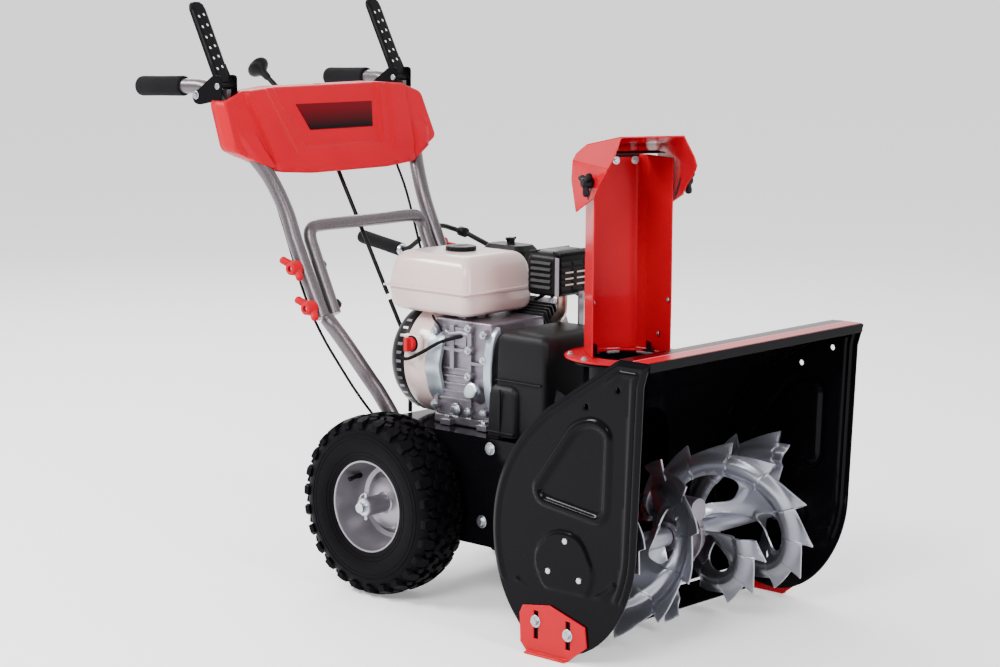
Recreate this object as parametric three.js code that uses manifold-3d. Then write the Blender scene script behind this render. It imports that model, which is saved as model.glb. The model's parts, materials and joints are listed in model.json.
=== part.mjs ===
// Two stage snowblower: a walk-behind machine with an auger housing, a powered impeller and a steel chute.
// Millimetres. X runs across the machine (-X is the operator's right), -Y is forwards and +Z is up.
// Inside the group, Y = 0 is the wheel axle and Z = 0 is the ground; the group is then centred along Y.
import * as THREE from 'three';
import { mergeVertices } from 'three/addons/utils/BufferGeometryUtils.js';
import Module from 'manifold-3d';

const wasm = await Module();
wasm.setup();

// ---- driving dimensions ----
const GAP = 0.3;                       // clearance between neighbouring solids
const SHEET = 3;                       // housing and frame sheet thickness
const CENTRE_SHIFT = 50.6;             // moves the axle frame so that the whole machine is centred on Y = 0
const WHEEL = { radius: 165, halfTrack: 190, halfWidth: 52, bead: 83, hub: 17, sides: 30 };
const AXLE = { radius: 9.5, halfLength: 252 };
const HOUSING = { half: 299, top: 518, front: -700, inset: 7 };
const AUGER = { y: -531, z: 165, radius: 146, window: 88, shaft: 10, sleeve: 17 };
const DRUM = { z: 212, inner: 162, outer: 165, back: -300 };
const CHUTE = { y: -408, z: 460, ring: 108, bore: 64, heading: -28, back: 56, mouth: 74, top: 808 };
const HOOD = { x: 80, fold: 800, lean: 0.46, hinge: [54, 808.6], crest: [23, 828], lip: [-102, 850] };
const FRAME = { half: 128, bottom: 106, top: 303, rear: 72, bulkhead: -215 };
const BELT = { impellerPulley: 60, enginePulley: 34 };
const ENGINE = { z: 410, base: 307 };
const TUBE = { radius: 14, x: 184 };
const PIVOT = { y: 173, z: 506 };      // lower handle knob, about which the upper handle folds
const LEVER = { x: 231, y: 372, z: 893, lean: 62 };

// ---- materials ----
const finish = (color, roughness, metalness) => ({ color, roughness, metalness });
const BLACK = finish(0x0b0b0d, 0.25, 0.1);
const PLASTIC = finish(0x18181a, 0.6, 0);
const RED = finish(0xe0101c, 0.3, 0.1);
const CREAM = finish(0xd8c8c2, 0.3, 0);
const CAST = finish(0x9a9a9e, 0.45, 0.9);
const STEEL = finish(0x8a8d92, 0.35, 1);
const RUBBER = finish(0x141415, 0.85, 0);

// ---- helpers ----
const machine = new THREE.Group();
machine.position.y = CENTRE_SHIFT;
const rad = THREE.MathUtils.degToRad;
const v3 = (x, y, z) => new THREE.Vector3(x, y, z);
const v2 = (x, y) => new THREE.Vector2(x, y);

function solid(geometry) {
  const bare = geometry.index ? geometry.toNonIndexed() : geometry.clone();
  bare.deleteAttribute('normal');
  bare.deleteAttribute('uv');
  const merged = mergeVertices(bare, 1e-4);
  return new wasm.Manifold(new wasm.Mesh({
    numProp: 3,
    vertProperties: new Float32Array(merged.attributes.position.array),
    triVerts: new Uint32Array(merged.index.array),
  }));
}

function add(name, body, look, parent = machine) {
  const data = body.getMesh();
  const geometry = new THREE.BufferGeometry();
  geometry.setAttribute('position', new THREE.BufferAttribute(new Float32Array(data.vertProperties), 3));
  geometry.setIndex(new THREE.BufferAttribute(new Uint32Array(data.triVerts), 1));
  geometry.computeVertexNormals();
  const mesh = new THREE.Mesh(geometry, new THREE.MeshStandardMaterial(look));
  mesh.name = name;
  parent.add(mesh);
  return mesh;
}

const join = (...parts) => parts.reduce((whole, part) => whole.add(part));
const cut = (whole, ...tools) => tools.reduce((rest, tool) => rest.subtract(tool), whole);
const oriented = (geometry, x, y, z, at) => geometry.applyMatrix4(new THREE.Matrix4().makeBasis(x, y, z)
  .setPosition(at));

// A box from its lowest and highest corners.
function box(x0, x1, y0, y1, z0, z1) {
  const geometry = new THREE.BoxGeometry(x1 - x0, y1 - y0, z1 - z0);
  return solid(geometry.translate((x0 + x1) / 2, (y0 + y1) / 2, (z0 + z1) / 2));
}

// A box of the given size, turned about X by an angle in degrees and centred at a point.
function tiltedBox(size, angle, centre) {
  const geometry = new THREE.BoxGeometry(...size).rotateX(rad(angle));
  return solid(geometry.translate(...centre));
}

// A cylinder or cone between two points.
function rod(from, to, radius, endRadius = radius, sides = 16) {
  const along = to.clone().sub(from);
  const geometry = new THREE.CylinderGeometry(endRadius, radius, along.length(), sides);
  geometry.applyQuaternion(new THREE.Quaternion().setFromUnitVectors(v3(0, 1, 0), along.normalize()));
  const middle = from.clone().add(to).multiplyScalar(0.5);
  return solid(geometry.translate(middle.x, middle.y, middle.z));
}

const rodX = (x0, x1, y, z, radius, sides) => rod(v3(x0, y, z), v3(x1, y, z), radius, radius, sides);
const rodY = (y0, y1, x, z, radius, sides) => rod(v3(x, y0, z), v3(x, y1, z), radius, radius, sides);
const rodZ = (z0, z1, x, y, radius, sides) => rod(v3(x, y, z0), v3(x, y, z1), radius, radius, sides);

// A shape drawn as (y, z), extruded along X.
function plateX(shape, x0, x1, curveSegments = 8) {
  const geometry = new THREE.ExtrudeGeometry(shape, { depth: x1 - x0, bevelEnabled: false, curveSegments });
  return solid(oriented(geometry, v3(0, 1, 0), v3(0, 0, 1), v3(1, 0, 0), v3(x0, 0, 0)));
}

// A shape drawn as (x, z), extruded along Y.
function plateY(shape, y0, y1, curveSegments = 8) {
  const geometry = new THREE.ExtrudeGeometry(shape, { depth: y1 - y0, bevelEnabled: false, curveSegments });
  return solid(oriented(geometry, v3(1, 0, 0), v3(0, 0, 1), v3(0, -1, 0), v3(0, y1, 0)));
}

// A shape drawn as (x, y), extruded along Z.
function plateZ(shape, z0, z1, curveSegments = 8) {
  const geometry = new THREE.ExtrudeGeometry(shape, { depth: z1 - z0, bevelEnabled: false, curveSegments });
  return solid(geometry.translate(0, 0, z0));
}

// Crank rod: from the worm beside the chute ring to a coupler, where the hand crank takes over.
const COUPLER = v3(206, 168, 612);
const WORM = v3(113, -396, 478);
const CRANK_DIRECTION = v3(0.13, 0.985, 0.11).normalize();

const outline = (...points) => new THREE.Shape(points.map(([a, b]) => v2(a, b)));

// A closed strip of the given thickness, to the left of a row of points.
function strip(points, thickness) {
  const inner = points.map((point, i) => {
    const before = points[Math.max(i - 1, 0)];
    const after = points[Math.min(i + 1, points.length - 1)];
    const along = after.clone().sub(before).normalize();
    return v2(point.x - along.y * thickness, point.y + along.x * thickness);
  });
  return new THREE.Shape([...points, ...inner.reverse()]);
}

// A solid of revolution about X; the profile is (radius, x) and closes on itself.
function turnedX(profile, y, z, sides, phase = 0) {
  const loop = profile.map(([radius, x]) => v2(radius, x));
  const geometry = new THREE.LatheGeometry([...loop, loop[0].clone()], sides, phase);
  return solid(oriented(geometry, v3(0, 1, 0), v3(1, 0, 0), v3(0, 0, -1), v3(0, y, z)));
}

// A tube along a smooth curve through the points.
function tube(points, radius, steps, sides = 10) {
  const path = new THREE.CatmullRomCurve3(points.map(([x, y, z]) => v3(x, y, z)), false, 'centripetal');
  const section = new THREE.Shape();
  section.absarc(0, 0, radius, 0, Math.PI * 2, false);
  const options = { steps, bevelEnabled: false, extrudePath: path, curveSegments: sides / 2 };
  return solid(new THREE.ExtrudeGeometry(section, options));
}

// ---- auger housing ----
function sidePlateShape() {
  const shape = new THREE.Shape();
  shape.moveTo(HOUSING.front, 516);
  shape.lineTo(-689, 478);
  shape.lineTo(-678, 198);
  shape.bezierCurveTo(-675, 110, -610, 10, -520, 10);
  shape.bezierCurveTo(-430, 10, -370, 100, -370, 205);
  shape.bezierCurveTo(-370, 300, -420, 368, -491, 422);
  shape.lineTo(-636, 516);
  return shape;
}

function backWallPoints() {
  const wall = new THREE.Path();
  const inset = HOUSING.inset;
  wall.moveTo(-436, 34);
  wall.quadraticCurveTo(-370 - inset, 95, -370 - inset, 205);
  wall.bezierCurveTo(-370 - inset, 296, -424, 362, -495, 415);
  wall.lineTo(-640, 509);
  return wall.getPoints(10);
}

function buildHousing() {
  const points = backWallPoints();
  const wall = plateX(strip(points, SHEET), -HOUSING.half + SHEET + GAP, HOUSING.half - SHEET - GAP);
  const half = HOUSING.half - SHEET - GAP;
  const topPlate = box(-half, half, HOUSING.front, -636, HOUSING.top - SHEET, HOUSING.top);
  const backLip = box(-half, half, -643, -636, 508, HOUSING.top);
  const frontLip = box(-half, half, HOUSING.front, HOUSING.front + SHEET, 503, HOUSING.top);
  const mouth = rodY(-520, -330, 0, DRUM.z, DRUM.inner, 32);
  add('housing_shell', cut(join(wall, topPlate, backLip, frontLip), mouth), BLACK);

  for (const [side, sign] of [['right', -1], ['left', 1]]) {
    const x0 = sign < 0 ? -HOUSING.half : HOUSING.half - SHEET;
    const plate = plateX(sidePlateShape(), x0, x0 + SHEET);
    const inner = sign * (HOUSING.half - SHEET);
    const cup = rodX(Math.min(inner - sign * 14, inner), Math.max(inner - sign * 14, inner), AUGER.y,
      AUGER.z, 24, 16);
    const bore = rodX(sign < 0 ? inner : inner - 14.5, sign < 0 ? inner + 14.5 : inner, AUGER.y, AUGER.z,
      10.4, 16);
    const studs = [[-471, 52], [-541, 46]].map(([y, z]) => join(
      rodX(Math.min(inner, sign * 306), Math.max(inner, sign * 306), y, z, 4, 10),
      rodX(Math.min(sign * 304, sign * 307), Math.max(sign * 304, sign * 307), y, z, 8, 10)));
    const holes = [[-637, 468], [-571, 433]].map(([y, z]) => rodX(x0 - 1, x0 + 4, y, z, 5, 10));
    add(`side_plate_${side}`, join(cut(join(plate, cup), bore, ...holes), ...studs), BLACK);
    buildSkidShoe(side, sign);
  }
  const scraper = tiltedBox([2 * half, 44, 4], 40, [0, -457, 17]);
  add('scraper_bar', scraper, STEEL);
}

function buildSkidShoe(side, sign) {
  const near = HOUSING.half + GAP;
  const span = (a, b) => [Math.min(sign * a, sign * b), Math.max(sign * a, sign * b)];
  const shape = outline([-434, 66], [-441, 80], [-500, 89], [-577, 66], [-581, 32], [-540, 0], [-452, 0],
    [-436, 16]);
  const plate = plateX(shape, ...span(near, near + 4));
  const sole = box(...span(near, 312), -540, -452, 0, 4);
  const slots = [[-471, 52], [-541, 46]].map(([y, z]) => box(...span(near - 1, near + 5), y - 5, y + 5,
    z - 25, z + 23));
  add(`skid_shoe_${side}`, cut(join(plate, sole), ...slots), RED);
}

// ---- impeller drum with its outlet and the crank bracket ----
function buildDrum() {
  const shell = cut(rodY(-460, DRUM.back, 0, DRUM.z, DRUM.outer, 32), rodY(-461, DRUM.back - 3, 0,
    DRUM.z, DRUM.inner, 32));
  const outlet = cut(rodZ(300, 456, 0, CHUTE.y, 74, 24), rodY(-500, DRUM.back - 3, 0, DRUM.z, DRUM.inner,
    32));
  const flange = rodZ(453, 456, 0, CHUTE.y, 98, 24);
  const crankHole = rod(WORM, COUPLER, 6, 6, 12);
  const bracket = cut(join(box(40, 140, -350, -310, 449, 454), box(100, 140, -318, -310, 449, 508)),
    crankHole);
  const ahead = backWallPoints().map((point) => v2(point.x + GAP, point.y));
  const front = plateX(new THREE.Shape([...ahead, v2(-640, 600), v2(-900, 600), v2(-900, 0), v2(-436,
    0)]), -320, 320);
  const throat = rodZ(215, 470, 0, CHUTE.y, CHUTE.bore, 24);
  const centre = rodY(-310, -290, 0, DRUM.z, 9.4, 16);
  const body = join(cut(join(shell, outlet), front), flange, bracket);
  add('impeller_drum', cut(body, throat, centre), BLACK);
}

// ---- auger, its gearbox and the impeller ----
// A flight is a helical web from the sleeve to the rim, standing across the shaft.
// One helical band of an auger flight, between two radii and two fractions of the flight's length.
function band(x0, x1, start, turn, hand, inner, outer, from, to) {
  const steps = Math.round(20 * (to - from));
  const thickness = 3;
  const positions = [];
  const ring = (i) => {
    const t = from + (to - from) * i / steps;
    const angle = start + hand * turn * t;
    const x = x0 + (x1 - x0) * t;
    for (const [radius, dx] of [[inner, 0], [outer, 0], [outer, thickness], [inner, thickness]]) {
      positions.push(x + dx, AUGER.y + radius * Math.cos(angle), AUGER.z + radius * Math.sin(angle));
    }
  };
  for (let i = 0; i <= steps; i += 1) ring(i);
  const index = [];
  for (let i = 0; i < steps; i += 1) {
    for (let k = 0; k < 4; k += 1) {
      const [a, b, c, d] = [4 * i + k, 4 * i + (k + 1) % 4, 4 * i + 4 + (k + 1) % 4, 4 * i + 4 + k];
      index.push(a, b, c, a, c, d);
    }
  }
  const last = 4 * steps;
  index.push(0, 2, 1, 0, 3, 2, last, last + 1, last + 2, last, last + 2, last + 3);
  if (hand > 0) {
    for (let i = 0; i < index.length; i += 3) [index[i], index[i + 1]] = [index[i + 1], index[i]];
  }
  const geometry = new THREE.BufferGeometry();
  geometry.setAttribute('position', new THREE.BufferAttribute(new Float32Array(positions), 3));
  geometry.setIndex(index);
  return solid(geometry);
}

// A flight is a rim ribbon that runs its whole length,
// held to the sleeve by three webs with windows between.
function flight(x0, x1, start, turn, hand) {
  const rim = band(x0, x1, start, turn, hand, AUGER.window, AUGER.radius, 0, 1);
  const webs = [[0, 0.15], [0.4, 0.55], [0.85, 1]].map(([from, to]) => (
    band(x0, x1, start, turn, hand, AUGER.sleeve - 2, AUGER.window + 1, from, to)));
  return join(rim, ...webs);
}

function buildAuger() {
  for (const [side, sign] of [['right', -1], ['left', 1]]) {
    const [x0, x1] = sign < 0 ? [-278, -36] : [36, 278];
    const sleeve = rodX(x0, x1, AUGER.y, AUGER.z, AUGER.sleeve, 16);
    const flights = [0, Math.PI].map((start) => flight(x0 + 8, x1 - 11, start, Math.PI * 1.6, sign));
    const bore = rodX(x0 - 1, x1 + 1, AUGER.y, AUGER.z, AUGER.shaft + GAP, 16);
    add(`auger_${side}`, cut(join(sleeve, ...flights), bore), STEEL);
  }
  add('auger_shaft', rodX(-292, 292, AUGER.y, AUGER.z, AUGER.shaft, 16), STEEL);

  const caseWheel = rodX(-20, 20, AUGER.y, AUGER.z, 44, 24);
  const caseBosses = rodX(-34, 34, AUGER.y, AUGER.z, 20, 16);
  const caseWorm = rodY(-574, -470, 0, DRUM.z, 21, 16);
  const wheelRoom = rodX(-13, 13, AUGER.y, AUGER.z, 38, 24);
  const wormRoom = rodY(-560, -500, 0, DRUM.z, 15, 16);
  const shaftBore = rodX(-40, 40, AUGER.y, AUGER.z, AUGER.shaft + GAP, 16);
  const wormBore = rodY(-510, -460, 0, DRUM.z, 9.4, 16);
  add('gearbox_case', cut(join(caseWheel, caseBosses, caseWorm), wheelRoom, wormRoom, shaftBore,
    wormBore), CAST);

  const teeth = 20;
  const gear = new THREE.Shape();
  for (let i = 0; i < teeth * 4; i += 1) {
    const radius = i % 4 < 2 ? 33.5 : 30;
    const angle = (i + 0.5) / (teeth * 4) * Math.PI * 2;
    const point = [radius * Math.cos(angle) + AUGER.y, radius * Math.sin(angle) + AUGER.z];
    if (i === 0) gear.moveTo(...point);
    else gear.lineTo(...point);
  }
  const wheelBore = rodX(-11, 11, AUGER.y, AUGER.z, AUGER.shaft + GAP, 16);
  add('worm_wheel', cut(plateX(gear, -10, 10), wheelBore), finish(0xb08d4a, 0.4, 1));

  const worm = rodY(-552, -512, 0, DRUM.z, 12, 16);
  const pulley = rodY(-258, -242, 0, DRUM.z, BELT.impellerPulley, 28);
  add('impeller_shaft', join(rodY(-556, -240, 0, DRUM.z, 9, 16), worm, pulley), STEEL);
  const hubBore = rodY(-400, -290, 0, DRUM.z, 9 + GAP, 16);
  const blades = [0, 1, 2].map((i) => {
    const blade = new THREE.BoxGeometry(4, 52, 142).translate(0, -334, 84).rotateY(i * Math.PI * 2 / 3);
    return solid(blade.translate(0, 0, DRUM.z));
  });
  add('impeller', cut(join(rodY(-362, -306, 0, DRUM.z, 22, 16), ...blades), hubBore), RED);
}

// ---- frame box, belt drive and belt cover ----
function buildFrame() {
  const { half, bottom, top, rear, bulkhead } = FRAME;
  const front = DRUM.back + GAP;
  const walls = [-half, half - SHEET].map((x) => box(x, x + SHEET, front, rear, bottom, top));
  const flanges = [-half, half - 30].map((x) => box(x, x + 30, front, front + SHEET, bottom, top - 8));
  const deck = box(-half, half, bulkhead, rear, top - SHEET, top);
  const cross = box(-half, half, bulkhead, bulkhead + SHEET, bottom, top);
  const back = box(-half, half, rear - SHEET, rear, bottom, top);
  const axleHole = rodX(-140, 140, 0, WHEEL.radius, AXLE.radius + 0.6, 16);
  add('frame_box', cut(join(...walls, ...flanges, deck, cross, back), axleHole), BLACK);

  const { impellerPulley, enginePulley } = BELT;
  const loop = (grow, width) => join(
    rodY(-250 - width, -250 + width, 0, DRUM.z, impellerPulley + grow, 28),
    rodY(-250 - width, -250 + width, 0, ENGINE.z, enginePulley + grow, 20),
    plateY(outline([-impellerPulley - grow + 1, DRUM.z], [impellerPulley + grow - 1, DRUM.z],
      [enginePulley + grow - 0.5, ENGINE.z], [-enginePulley - grow + 0.5, ENGINE.z]), -250 - width,
      -250 + width));
  add('auger_belt', cut(loop(8, 5), loop(1, 6)), RUBBER);

  const flywheel = rodY(2, 34, 0, ENGINE.z, 84, 24);
  const shaft = rodY(-266, 44, 0, ENGINE.z, 9.5, 16);
  const pulley = rodY(-258, -242, 0, ENGINE.z, enginePulley, 20);
  add('crankshaft', join(flywheel, shaft, pulley), STEEL);

  const coverOf = (inset, low) => join(
    box(-88 + inset, 88 - inset, -299 + inset, -180 - inset, low, 492 - inset),
    box(-100 + inset, 100 - inset, -240 + inset, -170 - inset, low, 398 - inset));
  const shaftHole = rodY(-230, -150, 0, ENGINE.z, 16, 16);
  add('belt_cover', cut(coverOf(0, top + GAP), coverOf(2.5, top - 1), shaftHole), PLASTIC);
}

// ---- rings joined into a closed loft ----
function roundedRing(centreX, centreY, halfX, halfY, corner, z) {
  const ring = [];
  for (const [sx, sy, from] of [[1, 1, 0], [-1, 1, 90], [-1, -1, 180], [1, -1, 270]]) {
    for (const step of [0, 30, 60, 90]) {
      const angle = rad(from + step);
      ring.push(v3(centreX + sx * (halfX - corner) + corner * Math.cos(angle),
        centreY + sy * (halfY - corner) + corner * Math.sin(angle), z));
    }
  }
  return ring;
}

function loft(rings) {
  const count = rings[0].length;
  const points = rings.flat();
  const index = [];
  for (let r = 0; r + 1 < rings.length; r += 1) {
    for (let k = 0; k < count; k += 1) {
      const [a, b] = [r * count + k, r * count + (k + 1) % count];
      index.push(a, b, b + count, a, b + count, a + count);
    }
  }
  const top = (rings.length - 1) * count;
  for (let k = 1; k + 1 < count; k += 1) index.push(0, k + 1, k, top, top + k, top + k + 1);
  const geometry = new THREE.BufferGeometry().setFromPoints(points);
  geometry.setIndex(index);
  return solid(geometry);
}

// ---- engine ----
function buildEngine() {
  const block = box(-78, 66, -160, -24, ENGINE.base + 12, 498);
  const feet = [-78, 46].map((x) => box(x, x + 32, -168, -20, ENGINE.base - 3.7, ENGINE.base + 14));
  const barrel = solid(new THREE.BoxGeometry(100, 96, 96).translate(95, 0, 0).rotateY(rad(-25))
    .translate(0, -98, ENGINE.z));
  const tankPosts = [[-55, -70], [40, -40]].map(([x, y]) => rodZ(490, 502.5, x, y, 8, 10));
  const shaftRoom = rodY(-170, -10, 0, ENGINE.z, 11, 16);
  const filler = rod(v3(-70, -128, 362), v3(-104, -128, 376), 13, 13, 12);
  add('crankcase', cut(join(block, ...feet, barrel, ...tankPosts, filler), shaftRoom), CAST);
  const head = solid(new THREE.BoxGeometry(26, 84, 84).translate(158.5, 0, 0).rotateY(rad(-25))
    .translate(0, -98, ENGINE.z));
  add('cylinder_head', head, CAST);

  const tankSeat = 502;
  const fanShell = cut(rodY(-20, 34, 0, ENGINE.z, 104, 32), rodY(-21, 31, 0, ENGINE.z, 101, 32),
    rodY(20, 40, 0, ENGINE.z, 87, 24), box(-110, 110, -30, 60, tankSeat, 530));
  const seat = box(-49, 49, -20, 34, tankSeat - 3, tankSeat);
  const switchBox = box(-111, -96, -14, 26, 430, 466);
  add('fan_housing', join(fanShell, seat, switchBox), CREAM);
  add('engine_switch', join(rodX(-122, -111.4, 6, 448, 13, 14), box(-128, -121, 1.5, 10.5, 435, 461)), RED);

  const domeOuter = [[0, 100], [56, 100], [78, 92], [92, 78], [101, 60], [103, 50], [103, 34.4]];
  const domeInner = [[100, 34.4], [100, 50], [98, 59], [89, 76], [76, 89], [55, 97], [0, 97]];
  const turned = (profile) => solid(new THREE.LatheGeometry([...profile].reverse()
    .map(([radius, y]) => v2(radius, y)), 28).translate(0, 0, ENGINE.z));
  const domeTop = turned([...domeOuter, [0, 34.4]]).intersect(box(-60, 60, 34, 100, tankSeat - 3.5,
    tankSeat - 0.5));
  const dome = cut(turned([...domeOuter, ...domeInner]), box(-60, 60, 30, 104, tankSeat - 0.5, 530));
  add('recoil_cover', join(dome, domeTop), PLASTIC);
  add('starter_grip', box(36, 92, 104, 118, 462, 478), PLASTIC);

  const tank = (inset) => loft([
    roundedRing(-5, -17, 71 - inset, 79 - inset, 20, 503 + inset),
    roundedRing(-5, -17, 88 - inset, 97 - inset, 22, 513 + inset),
    roundedRing(-5, -17, 93 - inset, 102 - inset, 22, 546),
    roundedRing(-5, -17, 97 - inset, 106 - inset, 22, 549),
    roundedRing(-5, -17, 93 - inset, 102 - inset, 22, 552),
    roundedRing(-5, -17, 84 - inset, 92 - inset, 22, 597 - inset),
    roundedRing(-5, -17, 66 - inset, 74 - inset, 20, 613 - inset)]);
  const filling = rodZ(560, 620, -5, -17, 20, 20);
  add('fuel_tank', cut(tank(0), tank(2), filling), CREAM);
  add('fuel_cap', rodZ(613.4, 622.4, -5, -17, 29, 24), PLASTIC);

  const airCase = loft([roundedRing(126, -22, 28, 46, 14, 530), roundedRing(126, -22, 31, 50, 16, 556),
    roundedRing(126, -22, 31, 50, 16, 604), roundedRing(126, -22, 24, 42, 14, 614)]);
  const airNut = rodZ(613, 626, 126, -22, 8, 10);
  const airNeck = box(110, 130, -40, -10, 517, 534);
  add('air_cleaner', join(airCase, airNut, airNeck), PLASTIC);
  const silencer = loft([roundedRing(88, -180, 48, 34, 10, 540), roundedRing(88, -180, 54, 40, 12, 546),
    roundedRing(88, -180, 54, 40, 12, 610), roundedRing(88, -180, 46, 32, 10, 623)]);
  add('muffler', join(silencer, rodZ(500, 545, 66, -200, 9, 12)), PLASTIC);
}

// ---- wheels ----
function buildWheels() {
  const axle = rodX(-AXLE.halfLength, AXLE.halfLength, 0, WHEEL.radius, AXLE.radius, 16);
  add('axle_shaft', axle, STEEL);
  const flatTop = WHEEL.radius / Math.cos(Math.PI / WHEEL.sides);
  const { bead, hub, halfWidth } = WHEEL;
  const bore = AXLE.radius + GAP;
  for (const [side, sign] of [['right', -1], ['left', 1]]) {
    const at = (offset) => sign * (WHEEL.halfTrack + offset);
    const wind = (profile) => (sign > 0 ? profile : [...profile].reverse());
    const tyre = [[bead + GAP, at(-44)], [bead + 40, at(-halfWidth)], [flatTop - 14, at(-halfWidth)],
      [flatTop, at(-40)],
      [flatTop, at(40)], [flatTop - 14, at(halfWidth)], [bead + 40, at(halfWidth)], [bead + GAP, at(44)],
      [bead + GAP, at(36)], [bead + 38, at(42)], [flatTop - 22, at(40)], [flatTop - 22, at(-40)],
      [bead + 38, at(-42)], [bead + GAP, at(-36)]];
    const phase = Math.PI / WHEEL.sides;
    add(`tyre_${side}`, turnedX(wind(tyre), 0, WHEEL.radius, WHEEL.sides, phase), RUBBER);
    const rim = [[bore, at(-50)], [hub, at(-50)], [hub, at(-8)], [50, at(-14)], [70, at(-34)], [bead,
      at(-44)],
      [bead, at(44)], [bead - 3, at(44)], [66, at(-20)], [50, at(-8)], [hub, at(-2)], [hub, at(50)],
      [bore, at(50)]];
    add(`rim_${side}`, turnedX(wind(rim), 0, WHEEL.radius, WHEEL.sides, phase), STEEL);
  }
}

// ---- chute, deflector and crank ----
const chuteFrame = new THREE.Matrix4().makeTranslation(0, CHUTE.y, 0)
  .multiply(new THREE.Matrix4().makeRotationZ(rad(CHUTE.heading)));
const intoChute = (body) => body.transform(chuteFrame.toArray());

// The channel flares from its flat back towards the open front; the flat back corners are chamfered.
function channel(back, mouth, thickness) {
  const half = [v2(mouth, -25), v2(back + 4, 52), v2(back - 10, 70)];
  const mirrored = half.map((p) => v2(-p.x, p.y)).reverse();
  return strip([...half, ...mirrored], thickness);
}

// A plate in plan, sheared so that its underside rises by slope for each millimetre forwards of y0.
function slopedPlate(plan, y0, z0, slope, thickness) {
  const shear = new THREE.Matrix4().set(1, 0, 0, 0, 0, 1, 0, 0, 0, -slope, 1, z0 + slope * y0, 0, 0, 0, 1);
  const slab = new THREE.ExtrudeGeometry(outline(...plan), { depth: thickness, bevelEnabled: false });
  return solid(slab.applyMatrix4(shear));
}

function hoodPanel(from, to) {
  const half = (z) => HOOD.x - HOOD.lean * (z - HOOD.fold) + 2;
  const plan = [[-half(from[1]), from[0]], [half(from[1]), from[0]], [half(to[1]), to[0]], [-half(to[1]),
    to[0]]];
  return slopedPlate(plan, from[0], from[1], (to[1] - from[1]) / (from[0] - to[0]), 2.5);
}

// One cheek of the deflector: upright below the fold line, leaning in towards the roof above it.
function hoodCheek(sign) {
  const [hinge, crest, lip] = [HOOD.hinge, HOOD.crest, HOOD.lip];
  const lower = outline([-104, 800.5], [-100, 793], [-66, 766], [-48, 746], [38, 712], [61, 765], [56,
    800.5]);
  const upper = outline([-105, 799.5], [-110, 816], [lip[0], lip[1] + 1], [crest[0], crest[1] + 1],
    [hinge[0], hinge[1] + 1], [56, 799.5]);
  const x0 = sign > 0 ? HOOD.x : -HOOD.x - 2.5;
  const k = -sign * HOOD.lean;
  const shear = new THREE.Matrix4().set(1, 0, k, -k * HOOD.fold, 0, 1, 0, 0, 0, 0, 1, 0, 0, 0, 0, 1);
  return join(plateX(lower, x0, x0 + 2.5), plateX(upper, x0, x0 + 2.5).transform(shear.toArray()));
}

function buildChute() {
  const ring = cut(rodZ(CHUTE.z, CHUTE.z + 4, 0, 0, CHUTE.ring, 36), rodZ(450, 480, 0, 0, CHUTE.bore, 24));
  add('chute_ring', intoChute(ring), RED);
  const sheet = plateZ(channel(CHUTE.back, CHUTE.mouth, 2.5), CHUTE.z + 4 + GAP, CHUTE.top);
  add('chute', intoChute(sheet), RED);
  const roof = [hoodPanel(HOOD.hinge, HOOD.crest), hoodPanel(HOOD.crest, HOOD.lip)];
  add('deflector', intoChute(join(hoodCheek(-1), hoodCheek(1), ...roof)), RED);
  const [knobY, knobZ] = [-38, 770];
  for (const [side, sign] of [['right', -1], ['left', 1]]) {
    const span = (a, b) => [Math.min(sign * a, sign * b), Math.max(sign * a, sign * b)];
    const hub = rodX(...span(HOOD.x + 3, HOOD.x + 22), knobY, knobZ, 9, 12);
    const lobes = [0, 120, 240].map((turn) => solid(new THREE.BoxGeometry(12, 9, 24).translate(0, 0, 12)
      .rotateX(rad(turn)).translate(sign * (HOOD.x + 18), knobY, knobZ)));
    add(`deflector_knob_${side}`, intoChute(join(hub, ...lobes)), PLASTIC);
  }
}
function buildCrank() {
  const toCoupler = COUPLER.clone().sub(WORM).normalize();
  const wormEnd = WORM.clone().addScaledVector(toCoupler, 44);
  const rodEnd = COUPLER.clone().addScaledVector(toCoupler, -8);
  add('crank_rod', join(rod(WORM, rodEnd, 5, 5, 10), rod(WORM, wormEnd, 8.5, 8.5, 12)), PLASTIC);
  const along = (distance, drop = 0) => COUPLER.clone().addScaledVector(CRANK_DIRECTION, distance)
    .add(v3(0, 0, -drop));
  const coupler = rod(along(0), along(18), 9, 9, 12);
  const elbowIn = along(88);
  const elbowOut = along(190, 76);
  const gripEnd = along(345, 76);
  const shaft = [rod(along(10), elbowIn, 5, 5, 10), rod(elbowIn, elbowOut, 5, 5, 10), rod(elbowOut,
    gripEnd, 5, 5, 10)];
  const elbows = [elbowIn, elbowOut].map((p) => solid(new THREE.SphereGeometry(5.2, 8, 6).translate(p.x,
    p.y, p.z)));
  add('crank_handle', join(coupler, ...shaft, ...elbows), PLASTIC);
  const foam = rod(along(205, 76), along(340, 76), 14, 14, 14);
  add('crank_grip', cut(foam, rod(along(190, 76), along(350, 76), 5.4, 5.4, 10)), RUBBER);
}

// ---- handle ----
const GRIP = { junction: [241, 476, 901], end: [248, 597.5, 896], radius: 19 };
const mirrored = (points, sign) => points.map(([x, y, z]) => [sign * x, y, z]);
const point = ([x, y, z]) => v3(x, y, z);

function upperTube(sign, radius) {
  const route = [[184, 163, 487], [184, 200, 553], [184, 236, 622], [184, 261, 677], [196, 292, 738],
    [220, 326, 792],
    [231, 351, 834], [233, 374, 868], [234, 398, 890], [236, 430, 901], [241, 476, 901], [247.3, 586,
    896.6]];
  return tube(mirrored(route, sign), radius, 22, 8);
}

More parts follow.
